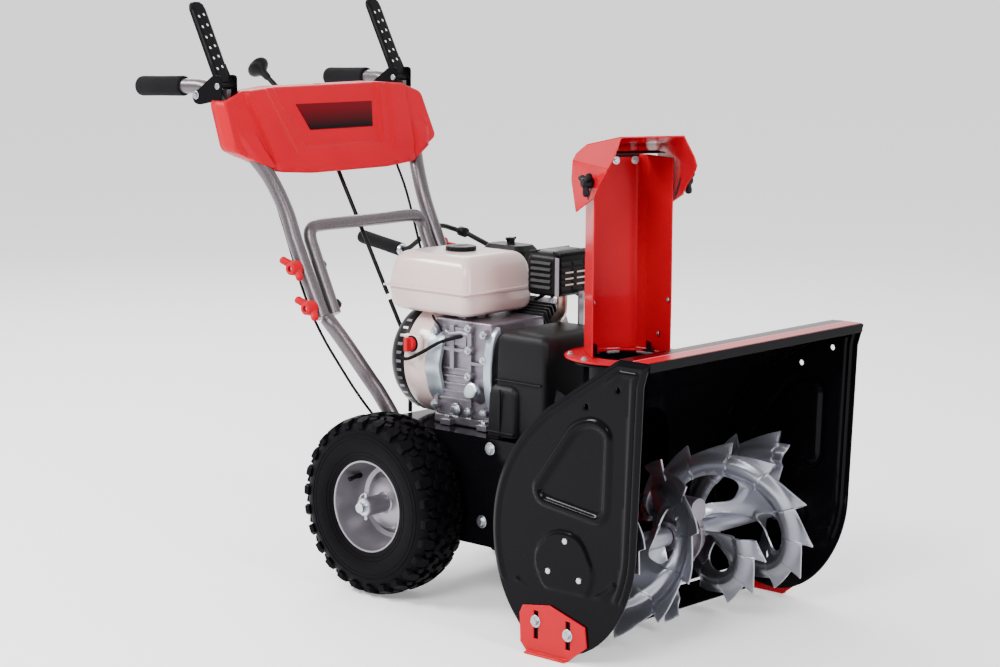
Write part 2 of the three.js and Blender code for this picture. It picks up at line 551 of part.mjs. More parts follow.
function buildHandle() {
  for (const [side, sign] of [['right', -1], ['left', 1]]) {
    const span = (a, b) => [Math.min(sign * a, sign * b), Math.max(sign * a, sign * b)];
    const lower = tube(mirrored([[110, 54, 303], [114, 63, 320], [124, 80, 352], [134, 91, 374], [148,
      101, 400],
      [164, 119, 436], [180, 141, 473], [182, 154, 486]], sign), TUBE.radius, 12, 8);
    const foot = box(...span(92, 127), 30, 71, FRAME.top + GAP, FRAME.top + 5);
    const underDeck = box(...span(80, 150), 20, 90, 280, FRAME.top + GAP);
    const tongue = plateX(strip([v2(150, 466), v2(180, 494), v2(228, 580)], 22), ...span(163.7, 169.7));
    add(`lower_tube_${side}`, cut(join(lower, foot, tongue), underDeck), STEEL);

    const lug = box(...span(227, 237), 362, 392, 876, 899);
    add(`upper_tube_${side}`, join(upperTube(sign, TUBE.radius), lug), STEEL);
    const [start, end] = [GRIP.junction, GRIP.end].map((p) => point(mirrored([p], sign)[0]));
    const bore = rod(start.clone().add(v3(0, -8, 0.3)), end.clone().add(v3(0, -9, 0.4)), TUBE.radius + 1,
      TUBE.radius + 1, 16);
    add(`grip_${side}`, cut(rod(start, end, GRIP.radius, GRIP.radius, 16), bore), RUBBER);

    const barrel = rodX(...span(213, 249), LEVER.y, LEVER.z + 12, 5, 12);
    const blade = solid(new THREE.BoxGeometry(36, 5, 176).translate(0, 0, 88).rotateX(rad(LEVER.lean - 90))
      .translate(sign * LEVER.x, LEVER.y, LEVER.z + 12));
    add(`lever_${side}`, join(barrel, blade), PLASTIC);

    for (const [level, y, z] of [['lower', PIVOT.y, PIVOT.z], ['upper', 213, 576]]) {
      const hub = rodX(...span(198.4, 220), y, z, 11, 14);
      const wing = solid(new THREE.BoxGeometry(12, 18, 56).rotateX(rad(-58)).translate(sign * 211, y, z));
      add(`handle_knob_${level}_${side}`, join(hub, wing), RED);
    }
  }
  const bar = [[157, 226, 613], [157, 231, 626], [148, 236, 641], [128, 238, 647]];
  add('crossbar', tube([...bar, [40, 238, 647], ...mirrored([[40, 238, 647], ...[...bar].reverse()],
    -1)], 12, 18, 8), STEEL);

  const face = [[-178, 748], [-100, 742], [100, 742], [178, 748], [266, 790], [260, 876], [211, 894],
    [144, 899],
    [-144, 899], [-211, 894], [-260, 876], [-266, 790]];
  const pocket = [[-175, 700], [175, 700], [262.5, 780], [256.5, 873.5], [210, 890.5], [144, 895.5],
    [-144, 895.5],
    [-210, 890.5], [-256.5, 873.5], [-262.5, 780]];
  const lean = 0.425;
  const sweep = 8;
  const bent = cut(plateY(outline(...face), 0, 40), plateY(outline(...pocket), 3, 60)).warp((v) => {
    v[1] += 285 + (v[2] - 748) * lean + sweep * (v[0] / 266) ** 2;
  });
  const leverSlot = box(-7, 7, 330, 420, 880, 910);
  const tubeRoom = [-1, 1].map((sign) => upperTube(sign, TUBE.radius + 2));
  const lugRoom = [-238, 226].map((x) => box(x, x + 12, 361, 393, 875, 900));
  add('control_panel', cut(bent, leverSlot, ...tubeRoom, ...lugRoom), RED);
}

// ---- speed selector and control cables ----
function buildControls() {
  const hinge = v3(0, 352, 800);
  const knob = v3(0, 535, 924);
  const arm = rod(hinge, knob, 5, 5, 10);
  const tip = rod(v3(0, 528, 919), v3(0, 544, 930), 17, 12, 14);
  const tail = rod(hinge, v3(0, 331, 768), 6, 6, 10);
  add('shift_lever', join(arm, tip, tail, rodX(-10, 10, hinge.y, hinge.z, 9, 14)), PLASTIC);
  add('shift_rod', rod(v3(0, 323, 757), v3(0, 178, 511), 4, 4, 10), PLASTIC);
  add('shift_link', tube([[0, 172, 501], [0, 150, 464], [0, 126, 423], [0, 119, 395], [0, 118, 340], [0,
    118, 292]],
    4, 10, 8), PLASTIC);
  const drive = [[-213, 376, 888], [-212, 370, 850], [-203, 348, 806], [-188, 316, 750], [-178, 284, 668],
    [-178, 243, 575], [-178, 207, 503], [-176, 172, 450], [-166, 143, 404], [-146, 117, 352], [-126, 97,
    312],
    [-112, 80, 285]];
  add('drive_cable', tube(drive, 2.5, 22, 6), RUBBER);
  const auger = [[213, 376, 888], [205, 368, 855], [178, 350, 815], [158, 322, 765], [150, 276, 690],
    [150, 240, 590],
    [142, 205, 520], [130, 156, 440], [110, 114, 366], [101, 92, 318], [100, 78, 280]];
  add('auger_cable', tube(auger, 2.5, 22, 6), RUBBER);
}

buildHousing();
buildDrum();
buildAuger();
buildFrame();
buildEngine();
buildWheels();
buildChute();
buildCrank();
buildHandle();
buildControls();

export default machine;
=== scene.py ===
"""Looks of the two stage snowblower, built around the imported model.

Lengths in the piece builders are millimetres, in the axle frame: X across the machine (-X is the
operator's right), -Y forwards, +Z up, Y = 0 at the wheel axle. place() turns them into metres in the
row frame.
"""
import json
import math

import bmesh
import bpy
import numpy as np
from mathutils import Matrix, Vector
from mathutils.geometry import delaunay_2d_cdt

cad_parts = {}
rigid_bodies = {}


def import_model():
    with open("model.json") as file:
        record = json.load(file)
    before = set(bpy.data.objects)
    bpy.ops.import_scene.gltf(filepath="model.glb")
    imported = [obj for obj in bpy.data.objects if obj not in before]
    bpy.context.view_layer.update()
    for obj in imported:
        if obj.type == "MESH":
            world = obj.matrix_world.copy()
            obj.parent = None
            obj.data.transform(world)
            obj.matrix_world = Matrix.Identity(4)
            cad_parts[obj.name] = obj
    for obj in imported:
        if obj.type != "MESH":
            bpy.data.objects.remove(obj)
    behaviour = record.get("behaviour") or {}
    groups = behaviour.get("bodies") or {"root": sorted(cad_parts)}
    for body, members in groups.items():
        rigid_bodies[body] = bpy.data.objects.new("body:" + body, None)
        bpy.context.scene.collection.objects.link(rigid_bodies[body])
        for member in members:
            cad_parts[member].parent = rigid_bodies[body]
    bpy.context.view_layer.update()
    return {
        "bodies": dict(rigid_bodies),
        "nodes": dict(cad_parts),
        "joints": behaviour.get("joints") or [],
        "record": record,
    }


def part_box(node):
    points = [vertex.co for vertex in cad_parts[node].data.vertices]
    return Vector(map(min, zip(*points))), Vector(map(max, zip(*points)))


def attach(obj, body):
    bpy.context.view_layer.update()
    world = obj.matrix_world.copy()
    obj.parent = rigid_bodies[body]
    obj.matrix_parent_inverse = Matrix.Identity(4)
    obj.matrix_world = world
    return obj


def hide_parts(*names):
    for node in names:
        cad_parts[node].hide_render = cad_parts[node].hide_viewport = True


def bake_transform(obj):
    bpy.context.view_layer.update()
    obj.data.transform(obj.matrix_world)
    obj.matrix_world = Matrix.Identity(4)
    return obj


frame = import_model()

MM = 0.001
SIDES = (("right", -1), ("left", 1))
AXLE_Y = sum(corner[1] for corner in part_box("axle_shaft")) / 2


def set_inputs(node, values):
    """Sets a shader node's inputs by name, and gives the node back."""
    for name, value in values.items():
        node.inputs[name].default_value = value
    return node


# ---------------------------------------------------------------- camera, light and floor
def build_camera():
    data = bpy.data.cameras.new("camera")
    data.lens = 89.38
    data.sensor_width = 36.0
    camera = bpy.data.objects.new("camera", data)
    camera.location = (-3.311, AXLE_Y - 3.118, 1.178)
    camera.rotation_euler = [math.radians(turn) for turn in (80.972, -0.397, -47.689)]
    bpy.context.scene.collection.objects.link(camera)
    bpy.context.scene.camera = camera


def area_light(name, location, target, size, power):
    data = bpy.data.lights.new(name, "AREA")
    data.shape = "RECTANGLE"
    data.size, data.size_y = size
    data.energy = power
    lamp = bpy.data.objects.new(name, data)
    lamp.location = location
    aim = Vector(target) - Vector(location)
    lamp.rotation_euler = aim.to_track_quat("-Z", "Y").to_euler()
    bpy.context.scene.collection.objects.link(lamp)


def build_world():
    """A white sky that is dimmer behind the camera's side, so glossy black keeps its depth."""
    world = bpy.data.worlds.new("studio")
    bpy.context.scene.world = world
    world.use_nodes = True
    nodes, links = world.node_tree.nodes, world.node_tree.links
    sky = set_inputs(nodes["Background"], {"Color": (1, 1, 1, 1)})
    coords = nodes.new("ShaderNodeTexCoord")
    facing = nodes.new("ShaderNodeVectorMath")
    facing.operation = "DOT_PRODUCT"
    facing.inputs[1].default_value = (-0.73, -0.68, 0.1)
    links.new(coords.outputs["Generated"], facing.inputs[0])
    fall = set_inputs(nodes.new("ShaderNodeMapRange"),
                      {"From Min": -0.35, "From Max": 0.75, "To Min": 1.7, "To Max": 0.32})
    links.new(facing.outputs["Value"], fall.inputs["Value"])
    links.new(fall.outputs["Result"], sky.inputs["Strength"])


def build_lights():
    area_light("key", (-3.4, -1.6, 3.2), (0, 0, 0.5), (2.0, 1.4), 190)
    area_light("front_strip", (-0.6, -3.8, 1.9), (0, -0.4, 0.5), (0.7, 2.2), 110)
    area_light("left_strip", (-2.2, 2.4, 2.9), (0, -0.2, 0.4), (2.2, 0.5), 210)
    area_light("rear_rim", (2.2, 2.8, 2.6), (0, 0, 0.6), (2.0, 1.4), 60)


def build_floor():
    reach, drop = 90.0, 0.0005
    data = bpy.data.meshes.new("floor")
    data.from_pydata([(-reach, -reach, 0), (reach, -reach, 0), (reach, reach, 0), (-reach, reach, 0)],
                     [], [(0, 1, 2, 3)])
    floor = bpy.data.objects.new("floor", data)
    bpy.context.scene.collection.objects.link(floor)
    floor.location.z = -drop
    pale = bpy.data.materials.new("pale_floor")
    pale.use_nodes = True
    set_inputs(pale.node_tree.nodes["Principled BSDF"],
               {"Base Color": (0.96, 0.96, 0.965, 1), "Roughness": 0.7,
                "Emission Color": (1, 1, 1, 1), "Emission Strength": 0.3})
    floor.data.materials.append(pale)


# ---------------------------------------------------------------- materials
def surface(name, color, roughness, metallic=0.0, coat=0.0, specular=0.5, grain=400.0, bump=0.02,
            mottle=0.08, edge_highlight=0.0, coarse=9.0):
    """A procedural finish: two sizes of noise shift colour and roughness and raise a fine bump."""
    material = bpy.data.materials.new(name)
    material.use_nodes = True
    nodes, links = material.node_tree.nodes, material.node_tree.links
    shader = set_inputs(nodes["Principled BSDF"], {"Metallic": metallic, "Specular IOR Level": specular,
                                                   "Coat Weight": coat, "Coat Roughness": 0.06})
    coords = nodes.new("ShaderNodeTexCoord")
    broad = set_inputs(nodes.new("ShaderNodeTexNoise"), {"Scale": coarse, "Detail": 5})
    fine = set_inputs(nodes.new("ShaderNodeTexNoise"), {"Scale": grain, "Detail": 3})
    for texture in (broad, fine):
        links.new(coords.outputs["Object"], texture.inputs["Vector"])
    tint = nodes.new("ShaderNodeValToRGB")
    low, high = tint.color_ramp.elements
    low.position, high.position = 0.3, 0.7
    low.color = (*[c * (1 - mottle) for c in color], 1)
    high.color = (*[min(1, c * (1 + mottle)) for c in color], 1)
    links.new(broad.outputs["Fac"], tint.inputs["Fac"])
    last = tint.outputs["Color"]
    # Convex edges get a lighter colour from pointiness: a painted highlight.
    if edge_highlight:
        convexity = nodes.new("ShaderNodeNewGeometry")
        edge = set_inputs(nodes.new("ShaderNodeMapRange"),
                          {"From Min": 0.52, "From Max": 0.6, "To Max": edge_highlight})
        links.new(convexity.outputs["Pointiness"], edge.inputs["Value"])
        mix = nodes.new("ShaderNodeMix")
        mix.data_type = "RGBA"
        mix.inputs["B"].default_value = (*[min(1, c * 1.5 + 0.12) for c in color], 1)
        links.new(edge.outputs["Result"], mix.inputs["Factor"])
        links.new(last, mix.inputs["A"])
        last = mix.outputs["Result"]
    links.new(last, shader.inputs["Base Color"])
    spread = set_inputs(nodes.new("ShaderNodeMapRange"),
                        {"To Min": max(0.02, roughness - 0.06), "To Max": min(1, roughness + 0.06)})
    links.new(fine.outputs["Fac"], spread.inputs["Value"])
    links.new(spread.outputs["Result"], shader.inputs["Roughness"])
    relief = set_inputs(nodes.new("ShaderNodeBump"), {"Strength": bump, "Distance": 0.001})
    links.new(fine.outputs["Fac"], relief.inputs["Height"])
    links.new(relief.outputs["Normal"], shader.inputs["Normal"])
    return material


# Each finish: base colour, roughness, then what differs from a plain painted surface.
FINISHES = {
    "black_enamel": ((0.0022, 0.002, 0.0028), 0.12, dict(specular=0.06, grain=160, bump=0.04)),
    "black_satin": ((0.0035, 0.0032, 0.004), 0.34, dict(specular=0.08, grain=260, bump=0.08)),
    "black_plastic": ((0.0055, 0.0048, 0.0058), 0.42, dict(specular=0.12, grain=900, bump=0.3)),
    "rubber": ((0.005, 0.0047, 0.0055), 0.7, dict(specular=0.08, grain=700, bump=0.4, mottle=0.2)),
    "foam": ((0.006, 0.0054, 0.0062), 0.8, dict(specular=0.08, grain=1400, bump=0.9, mottle=0.25)),
    "tyre": ((0.002, 0.0017, 0.0026), 0.5, dict(specular=0.04, grain=600, bump=0.5, mottle=0.3)),
    "red_paint": ((0.42, 0.0006, 0.01), 0.2,
                  dict(specular=0.09, coat=0.05, grain=160, bump=0.05, mottle=0.05)),
    "red_plastic": ((0.42, 0.0006, 0.012), 0.34, dict(specular=0.06, grain=1200, bump=0.12, mottle=0.04)),
    "cream_paint": ((0.62, 0.48, 0.46), 0.24,
                    dict(specular=0.3, coat=0.3, grain=200, bump=0.04, mottle=0.03)),
    "grey_tube": ((0.105, 0.09, 0.098), 0.28, dict(metallic=0.65, grain=900, bump=0.25)),
    "zinc": ((0.42, 0.44, 0.48), 0.3, dict(metallic=0.95, grain=350, bump=0.12, mottle=0.16, coarse=22)),
    # Auger steel: its lighter edges are a painted highlight.
    "auger_steel": ((0.28, 0.285, 0.33), 0.3,
                    dict(metallic=0.85, grain=240, bump=0.05, mottle=0.1, edge_highlight=0.7, coarse=10)),
    "cast_aluminium": ((0.21, 0.19, 0.22), 0.34,
                       dict(metallic=0.85, grain=520, bump=0.6, mottle=0.2, coarse=30)),
    "blue_cast": ((0.42, 0.47, 0.53), 0.36, dict(metallic=0.8, grain=500, bump=0.3, mottle=0.1)),
    "silver_rim": ((0.25, 0.235, 0.26), 0.3, dict(metallic=0.8, grain=600, bump=0.15)),
    "bronze": ((0.55, 0.36, 0.16), 0.35, dict(metallic=1.0, bump=0.2, mottle=0.2)),
    "pipe_steel": ((0.45, 0.33, 0.27), 0.35, dict(metallic=0.9, bump=0.1, mottle=0.25)),
    "dark_steel": ((0.08, 0.08, 0.085), 0.4, dict(metallic=0.7, grain=500, bump=0.3, mottle=0.2)),
    "dark_red": ((0.05, 0.0006, 0.002), 0.2, dict(specular=0.06, grain=160, bump=0.05)),
    # Pale red for the top stripe's line, a painted highlight.
    "pale_red_highlight": ((0.5, 0.08, 0.11), 0.25, dict(specular=0.2, grain=160, bump=0.05)),
}
LOOKS = {name: surface(name, color, roughness, **more) for name, (color, roughness, more) in FINISHES.items()}


# ---------------------------------------------------------------- mesh helpers
def place(point):
    x, y, z = point
    return (x * MM, y * MM + AXLE_Y, z * MM)


def piece(name, points, faces, look, body, replaces=(), smooth=35, bevel=0.0, rounds=2):
    """A finished mesh piece from millimetre points, riding on a body."""
    mesh = bpy.data.meshes.new(name)
    mesh.from_pydata([place(p) for p in points], [], faces)
    return finish_piece(name, mesh, look, body, replaces, smooth, bevel, rounds)


def bevel_edges(obj, name, width, segments, angle):
    """Rounds the edges that turn by more than an angle in degrees."""
    edge = obj.modifiers.new(name, "BEVEL")
    edge.width = width * MM
    edge.segments = segments
    edge.limit_method = "ANGLE"
    edge.angle_limit = math.radians(angle)


def thicken(obj, thickness, even=False):
    """Gives a sheet its thickness, half to each side."""
    wall = obj.modifiers.new("thickness", "SOLIDIFY")
    wall.thickness = thickness * MM
    wall.offset = 0.0
    wall.use_even_offset = even


def finish_piece(name, mesh, look, body, replaces=(), smooth=35, bevel=0.0, rounds=2):
    """Merges doubles, adds finish, soft edges and shading, and ties the piece to its body and nodes.

    Edges sharper than smooth degrees stay creased, unless a bevel rounds them.
    """
    bm = bmesh.new()
    bm.from_mesh(mesh)
    bmesh.ops.remove_doubles(bm, verts=bm.verts, dist=1e-6)
    bmesh.ops.recalc_face_normals(bm, faces=bm.faces)
    bm.to_mesh(mesh)
    bm.free()
    obj = bpy.data.objects.new(name, mesh)
    bpy.context.scene.collection.objects.link(obj)
    mesh.materials.append(LOOKS[look] if isinstance(look, str) else look)
    mesh.shade_smooth()
    mesh.set_sharp_from_angle(angle=math.radians(180 if bevel else smooth))
    if bevel:
        bevel_edges(obj, "bevel", bevel, rounds, 35)
        weighted = obj.modifiers.new("weighted", "WEIGHTED_NORMAL")
        weighted.keep_sharp = True
    if body:
        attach(obj, body)
    if replaces:
        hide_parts(*([replaces] if isinstance(replaces, str) else replaces))
    return obj


NODE_BODY = {node: body for body, nodes in frame["record"]["behaviour"]["bodies"].items() for node in nodes}


def refined(node, look, bevel=1.0, rounds=2):
    """The node's own solid with softened edges, standing for the node."""
    mesh = frame["nodes"][node].data.copy()
    mesh.name = node + "_fine"
    mesh.materials.clear()
    bm = bmesh.new()
    bm.from_mesh(mesh)
    bmesh.ops.remove_doubles(bm, verts=bm.verts, dist=2e-6)
    bmesh.ops.dissolve_limit(bm, angle_limit=math.radians(1.0), verts=bm.verts, edges=bm.edges)
    bm.to_mesh(mesh)
    bm.free()
    return finish_piece(node + "_fine", mesh, look, NODE_BODY[node], node, bevel=bevel, rounds=rounds)


# ---------------------------------------------------------------- shape helpers
def smooth_step(value, low, high):
    t = np.clip((np.asarray(value, float) - low) / (high - low), 0, 1)
    return t * t * (3 - 2 * t)


def line_distance(points, line, closed=False):
    """Distance from each 2-D point to a row of segments."""
    line = np.asarray(line, float)
    ends = np.roll(line, -1, axis=0)
    starts = line
    if not closed:
        starts, ends = line[:-1], line[1:]
    best = np.full(len(points), 1e9)
    for a, b in zip(starts, ends):
        along = b - a
        t = np.clip(((points - a) @ along) / max(along @ along, 1e-9), 0, 1)
        best = np.minimum(best, np.hypot(*(points - a - t[:, None] * along).T))
    return best


def inside(points, polygon):
    polygon = np.asarray(polygon, float)
    hit = np.zeros(len(points), bool)
    for a, b in zip(polygon, np.roll(polygon, -1, axis=0)):
        crosses = (a[1] > points[:, 1]) != (b[1] > points[:, 1])
        with np.errstate(divide="ignore", invalid="ignore"):
            at = a[0] + (points[:, 1] - a[1]) * (b[0] - a[0]) / (b[1] - a[1])
        hit ^= crosses & (points[:, 0] < at)
    return hit


def bezier(*controls, count=16):
    """A Bezier curve of any order as a list of points, without its last one."""
    controls = [np.asarray(c, float) for c in controls]
    out = []
    for i in range(count):
        row = controls
        while len(row) > 1:
            row = [a + (b - a) * i / count for a, b in zip(row, row[1:])]
        out.append(row[0])
    return out


def rounded(polygon, radius, count=6):
    """A polygon with each corner replaced by a curve that starts radius away from it."""
    polygon = [np.asarray(p, float) for p in polygon]
    out = []
    for i, corner in enumerate(polygon):
        before, after = polygon[i - 1], polygon[(i + 1) % len(polygon)]
        reach = min(radius, 0.48 * np.linalg.norm(before - corner), 0.48 * np.linalg.norm(after - corner))
        start = corner + (before - corner) / np.linalg.norm(before - corner) * reach
        end = corner + (after - corner) / np.linalg.norm(after - corner) * reach
        out += bezier(start, corner, end, count=count) + [end]
    return np.array(out)


def smooth_path(points):
    """Catmull-Rom curve through the points."""
    per_span = 8
    points = [np.asarray(p, float) for p in points]
    ends = [2 * points[0] - points[1], *points, 2 * points[-1] - points[-2]]
    out = []
    for a, b, c, d in zip(ends, ends[1:], ends[2:], ends[3:]):
        for t in np.arange(per_span) / per_span:
            out.append(0.5 * (2 * b + (c - a) * t + (2 * a - 5 * b + 4 * c - d) * t * t
                              + (3 * b - a - 3 * c + d) * t ** 3))
    return np.array(out + [points[-1]])


def around(count):
    """Even angles of one full turn."""
    return np.arange(count) * 2 * math.pi / count


def grid_faces(rows, columns):
    """Four-sided faces between rows of points, each row having columns + 1 points."""
    row = columns + 1
    return [[i * row + k, i * row + k + 1, (i + 1) * row + k + 1, (i + 1) * row + k]
            for i in range(rows) for k in range(columns)]


class Mould:
    """Collects points and faces of several simple solids for one piece."""

    def __init__(self):
        self.points, self.faces = [], []

    def add(self, points, faces):
        base = len(self.points)
        self.points += [tuple(p) for p in points]
        self.faces += [[base + i for i in face] for face in faces]
        return self

    def rings(self, rings, closed=False, cap=True):
        """Skin over rows of points that all have the same length."""
        count, rows = len(rings[0]), len(rings)
        faces = []
        for i in range(rows if closed else rows - 1):
            for k in range(count):
                a, b = i * count, (i + 1) % rows * count
                faces.append([a + k, a + (k + 1) % count, b + (k + 1) % count, b + k])
        if cap and not closed:
            faces += [list(range(count))[::-1], [(rows - 1) * count + k for k in range(count)]]
        return self.add([p for ring in rings for p in ring], faces)

    def block(self, low, high, frame=None):
        xs, ys, zs = zip(low, high)
        corners = [Vector((x, y, z)) for z in zs for y in ys for x in xs]
        if frame:
            corners = [frame @ c for c in corners]
        return self.add(corners, [[0, 2, 3, 1], [4, 5, 7, 6], [0, 1, 5, 4], [2, 6, 7, 3], [0, 4, 6, 2],
                                  [1, 3, 7, 5]])

    def lathe(self, at, axis, profile, sides=32):
        """Turn (distance along the axis, radius) pairs about an axis."""
        axis = Vector(axis).normalized()
        across = axis.orthogonal().normalized()
        other = axis.cross(across)
        rings = []
        for along, radius in profile:
            rings.append([Vector(at) + axis * along + radius * (across * math.cos(a) + other * math.sin(a))
                          for a in around(sides)])
        return self.rings(rings)

    def hexagon(self, at, axis, across_flats=10.0, height=5.0):
        """A hexagon head with a chamfered top on a washer."""
        radius = across_flats / math.sqrt(3)
        self.lathe(at, axis, [(0, radius * 1.55), (1.1, radius * 1.55), (1.4, radius * 1.4)], 20)
        return self.lathe(at, axis, [(1, radius), (height, radius), (height + 0.7, radius * 0.84)], 6)

    def pipe(self, path, radius, sides=14, cap=True, squash=1.0):
        """A round tube along a path; radius is one number or one per path point."""
        path = [Vector(p) for p in path]
        radii = [radius] * len(path) if np.isscalar(radius) else radius
        tangent = (path[1] - path[0]).normalized()
        normal = tangent.orthogonal().normalized()
        rings = []
        for i, point in enumerate(path):
            ahead = (path[min(i + 1, len(path) - 1)] - path[max(i - 1, 0)]).normalized()
            normal = (normal - ahead * normal.dot(ahead)).normalized()
            other = ahead.cross(normal)
            rings.append([point + radii[i] * (normal * math.cos(a) + squash * other * math.sin(a))
                          for a in around(sides)])
        return self.rings(rings, cap=cap)

    def done(self, name, look, body, replaces=(), **options):
        return piece(name, self.points, self.faces, look, body, replaces, **options)


def leaning(at, degrees, axis):
    """A placement in millimetres at a point, turned about one axis."""
    return Matrix.Translation(at) @ Matrix.Rotation(math.radians(degrees), 4, axis)


def frame_on(at, x_axis, z_axis):
    """A placement in millimetres from a point and two axes."""
    z_axis = Vector(z_axis).normalized()
    y_axis = z_axis.cross(Vector(x_axis)).normalized()
    x_axis = y_axis.cross(z_axis)
    turn = Matrix((x_axis, y_axis, z_axis)).transposed().to_4x4()
    return Matrix.Translation(at) @ turn


def plate(name, outline, height, to_space, look, body, spacing=6.0, lines=(), holes=(), replaces=(),
          thickness=3.0, bevel=0.5, skirts=()):
    """A sheet cut to a 2-D outline and pressed to height(points); to_space(u, v, h) gives millimetres."""
    outline = np.asarray(outline, float)
    low, high = outline.min(0), outline.max(0)
    grid = np.stack(np.meshgrid(np.arange(low[0], high[0], spacing), np.arange(low[1], high[1], spacing)), -1)
    grid = grid.reshape(-1, 2) + 0.11
    grid = grid[inside(grid, outline) & (line_distance(grid, outline, True) > spacing * 0.45)]
    for hole in holes:
        grid = grid[~inside(grid, hole) & (line_distance(grid, hole, True) > spacing * 0.3)]
    lines = [evenly(line, 4.0) for line in lines if len(line) > 1]
    for line in lines:
        grid = grid[line_distance(grid, line) > spacing * 0.35]
    vertices, edges = [], []
    for ring in [outline, *holes]:
        base = len(vertices)
        vertices += [Vector(p) for p in ring]
        edges += [(base + i, base + (i + 1) % len(ring)) for i in range(len(ring))]
    for ring in lines:
        vertices += [Vector(p) for p in ring]
    vertices += [Vector(p) for p in grid]
    flat, _, faces, *_ = delaunay_2d_cdt(vertices, edges, [], 0, 1e-4)
    flat = np.array([tuple(p) for p in flat])
    centres = np.array([flat[list(face)].mean(0) for face in faces])
    keep = inside(centres, outline)
    for hole in holes:
        keep &= ~inside(centres, hole)
    heights = height(flat)
    points = [to_space(u, v, h) for (u, v), h in zip(flat, heights)]
    mould = Mould().add(points, [list(f) for f, k in zip(faces, keep) if k])
    for rows in skirts:
        mould.add([p for row in rows for p in row], grid_faces(len(rows) - 1, len(rows[0]) - 1))
    obj = mould.done(name, look, body, replaces, smooth=60)
    thicken(obj, thickness, even=True)
    if bevel:
        bevel_edges(obj, "edge", bevel, 2, 50)


# ---------------------------------------------------------------- auger housing
AUGER_Y, AUGER_Z = -531, 165
SIDE_OUTLINE = np.array(
    bezier((-700, 516), (-689, 478), count=4) + bezier((-689, 478), (-678, 198), count=24)
    + bezier((-678, 198), (-675, 110), (-610, 10), (-520, 10), count=30)
    + bezier((-520, 10), (-430, 10), (-370, 100), (-370, 205), count=30)
    + bezier((-370, 205), (-370, 300), (-420, 368), (-491, 422), count=26)
    + bezier((-491, 422), (-636, 516), count=12) + bezier((-636, 516), (-700, 516), count=6))
WINDOW_EMBOSS = rounded([(-463, 284), (-548, 398), (-590, 410), (-620, 396), (-616, 262), (-600, 247),
                         (-474, 263)], 22)
BEARING_EMBOSS = rounded([(-462, 168), (-500, 214), (-560, 214), (-592, 155), (-572, 112), (-490, 112)], 26)
SHOE_EMBOSS = [np.array(p) for p in bezier((-425, 118), (-500, 84), (-600, 98), (-640, 150), count=30)]
SHOE_CLEAR = 112  # below this height the plate is flat, so that the skid shoe can slide on it
SIDE_X = 297.5    # middle of the side plate's sheet


def side_height(points):
    """Pressing of a side plate: a bead round the rim, a second one in front, and the embossed shapes."""
    rim = line_distance(points, SIDE_OUTLINE, True)
    front = smooth_step(points[:, 0], -600, -640)
    bead = smooth_step(rim, 2, 6) * smooth_step(rim, 15, 11)
    second = smooth_step(rim, 15, 18) * smooth_step(rim, 27, 23) * front
    edge = line_distance(points, WINDOW_EMBOSS, True)
    within = inside(points, WINDOW_EMBOSS)
    window = 3.6 * smooth_step(edge, 8, 3) - 2.2 * within * smooth_step(edge, 4, 12)
    bearing_edge = line_distance(points, BEARING_EMBOSS, True)
    bearing = 3.2 * np.where(inside(points, BEARING_EMBOSS), 1, smooth_step(bearing_edge, 6, 0))
    arc = 2.6 * smooth_step(line_distance(points, SHOE_EMBOSS), 6, 1.5)
    clear = smooth_step(points[:, 1], SHOE_CLEAR, SHOE_CLEAR + 12)
    return (2.6 * bead + 2.6 * second + window + bearing + arc) * clear


def circle(centre, radius, count=14):
    return [(centre[0] + radius * math.cos(a), centre[1] + radius * math.sin(a))
            for a in around(count)]


def evenly(line, step):
    """The same line with points at an even step."""
    line = np.asarray(line, float)
    gone = np.concatenate([[0], np.cumsum(np.linalg.norm(np.diff(line, axis=0), axis=1))])
    at = np.linspace(0, gone[-1], max(2, int(gone[-1] / step)))
    return np.stack([np.interp(at, gone, line[:, k]) for k in range(line.shape[1])], 1)


def offset_ring(ring, distance):
    ring = np.asarray(ring, float)
    along = np.roll(ring, -1, axis=0) - np.roll(ring, 1, axis=0)
    normal = np.stack([along[:, 1], -along[:, 0]], 1)
    normal /= np.maximum(np.linalg.norm(normal, axis=1), 1e-9)[:, None]
    moved = ring + normal * distance
    return moved[np.abs(line_distance(moved, ring, True) - abs(distance)) < 0.6]


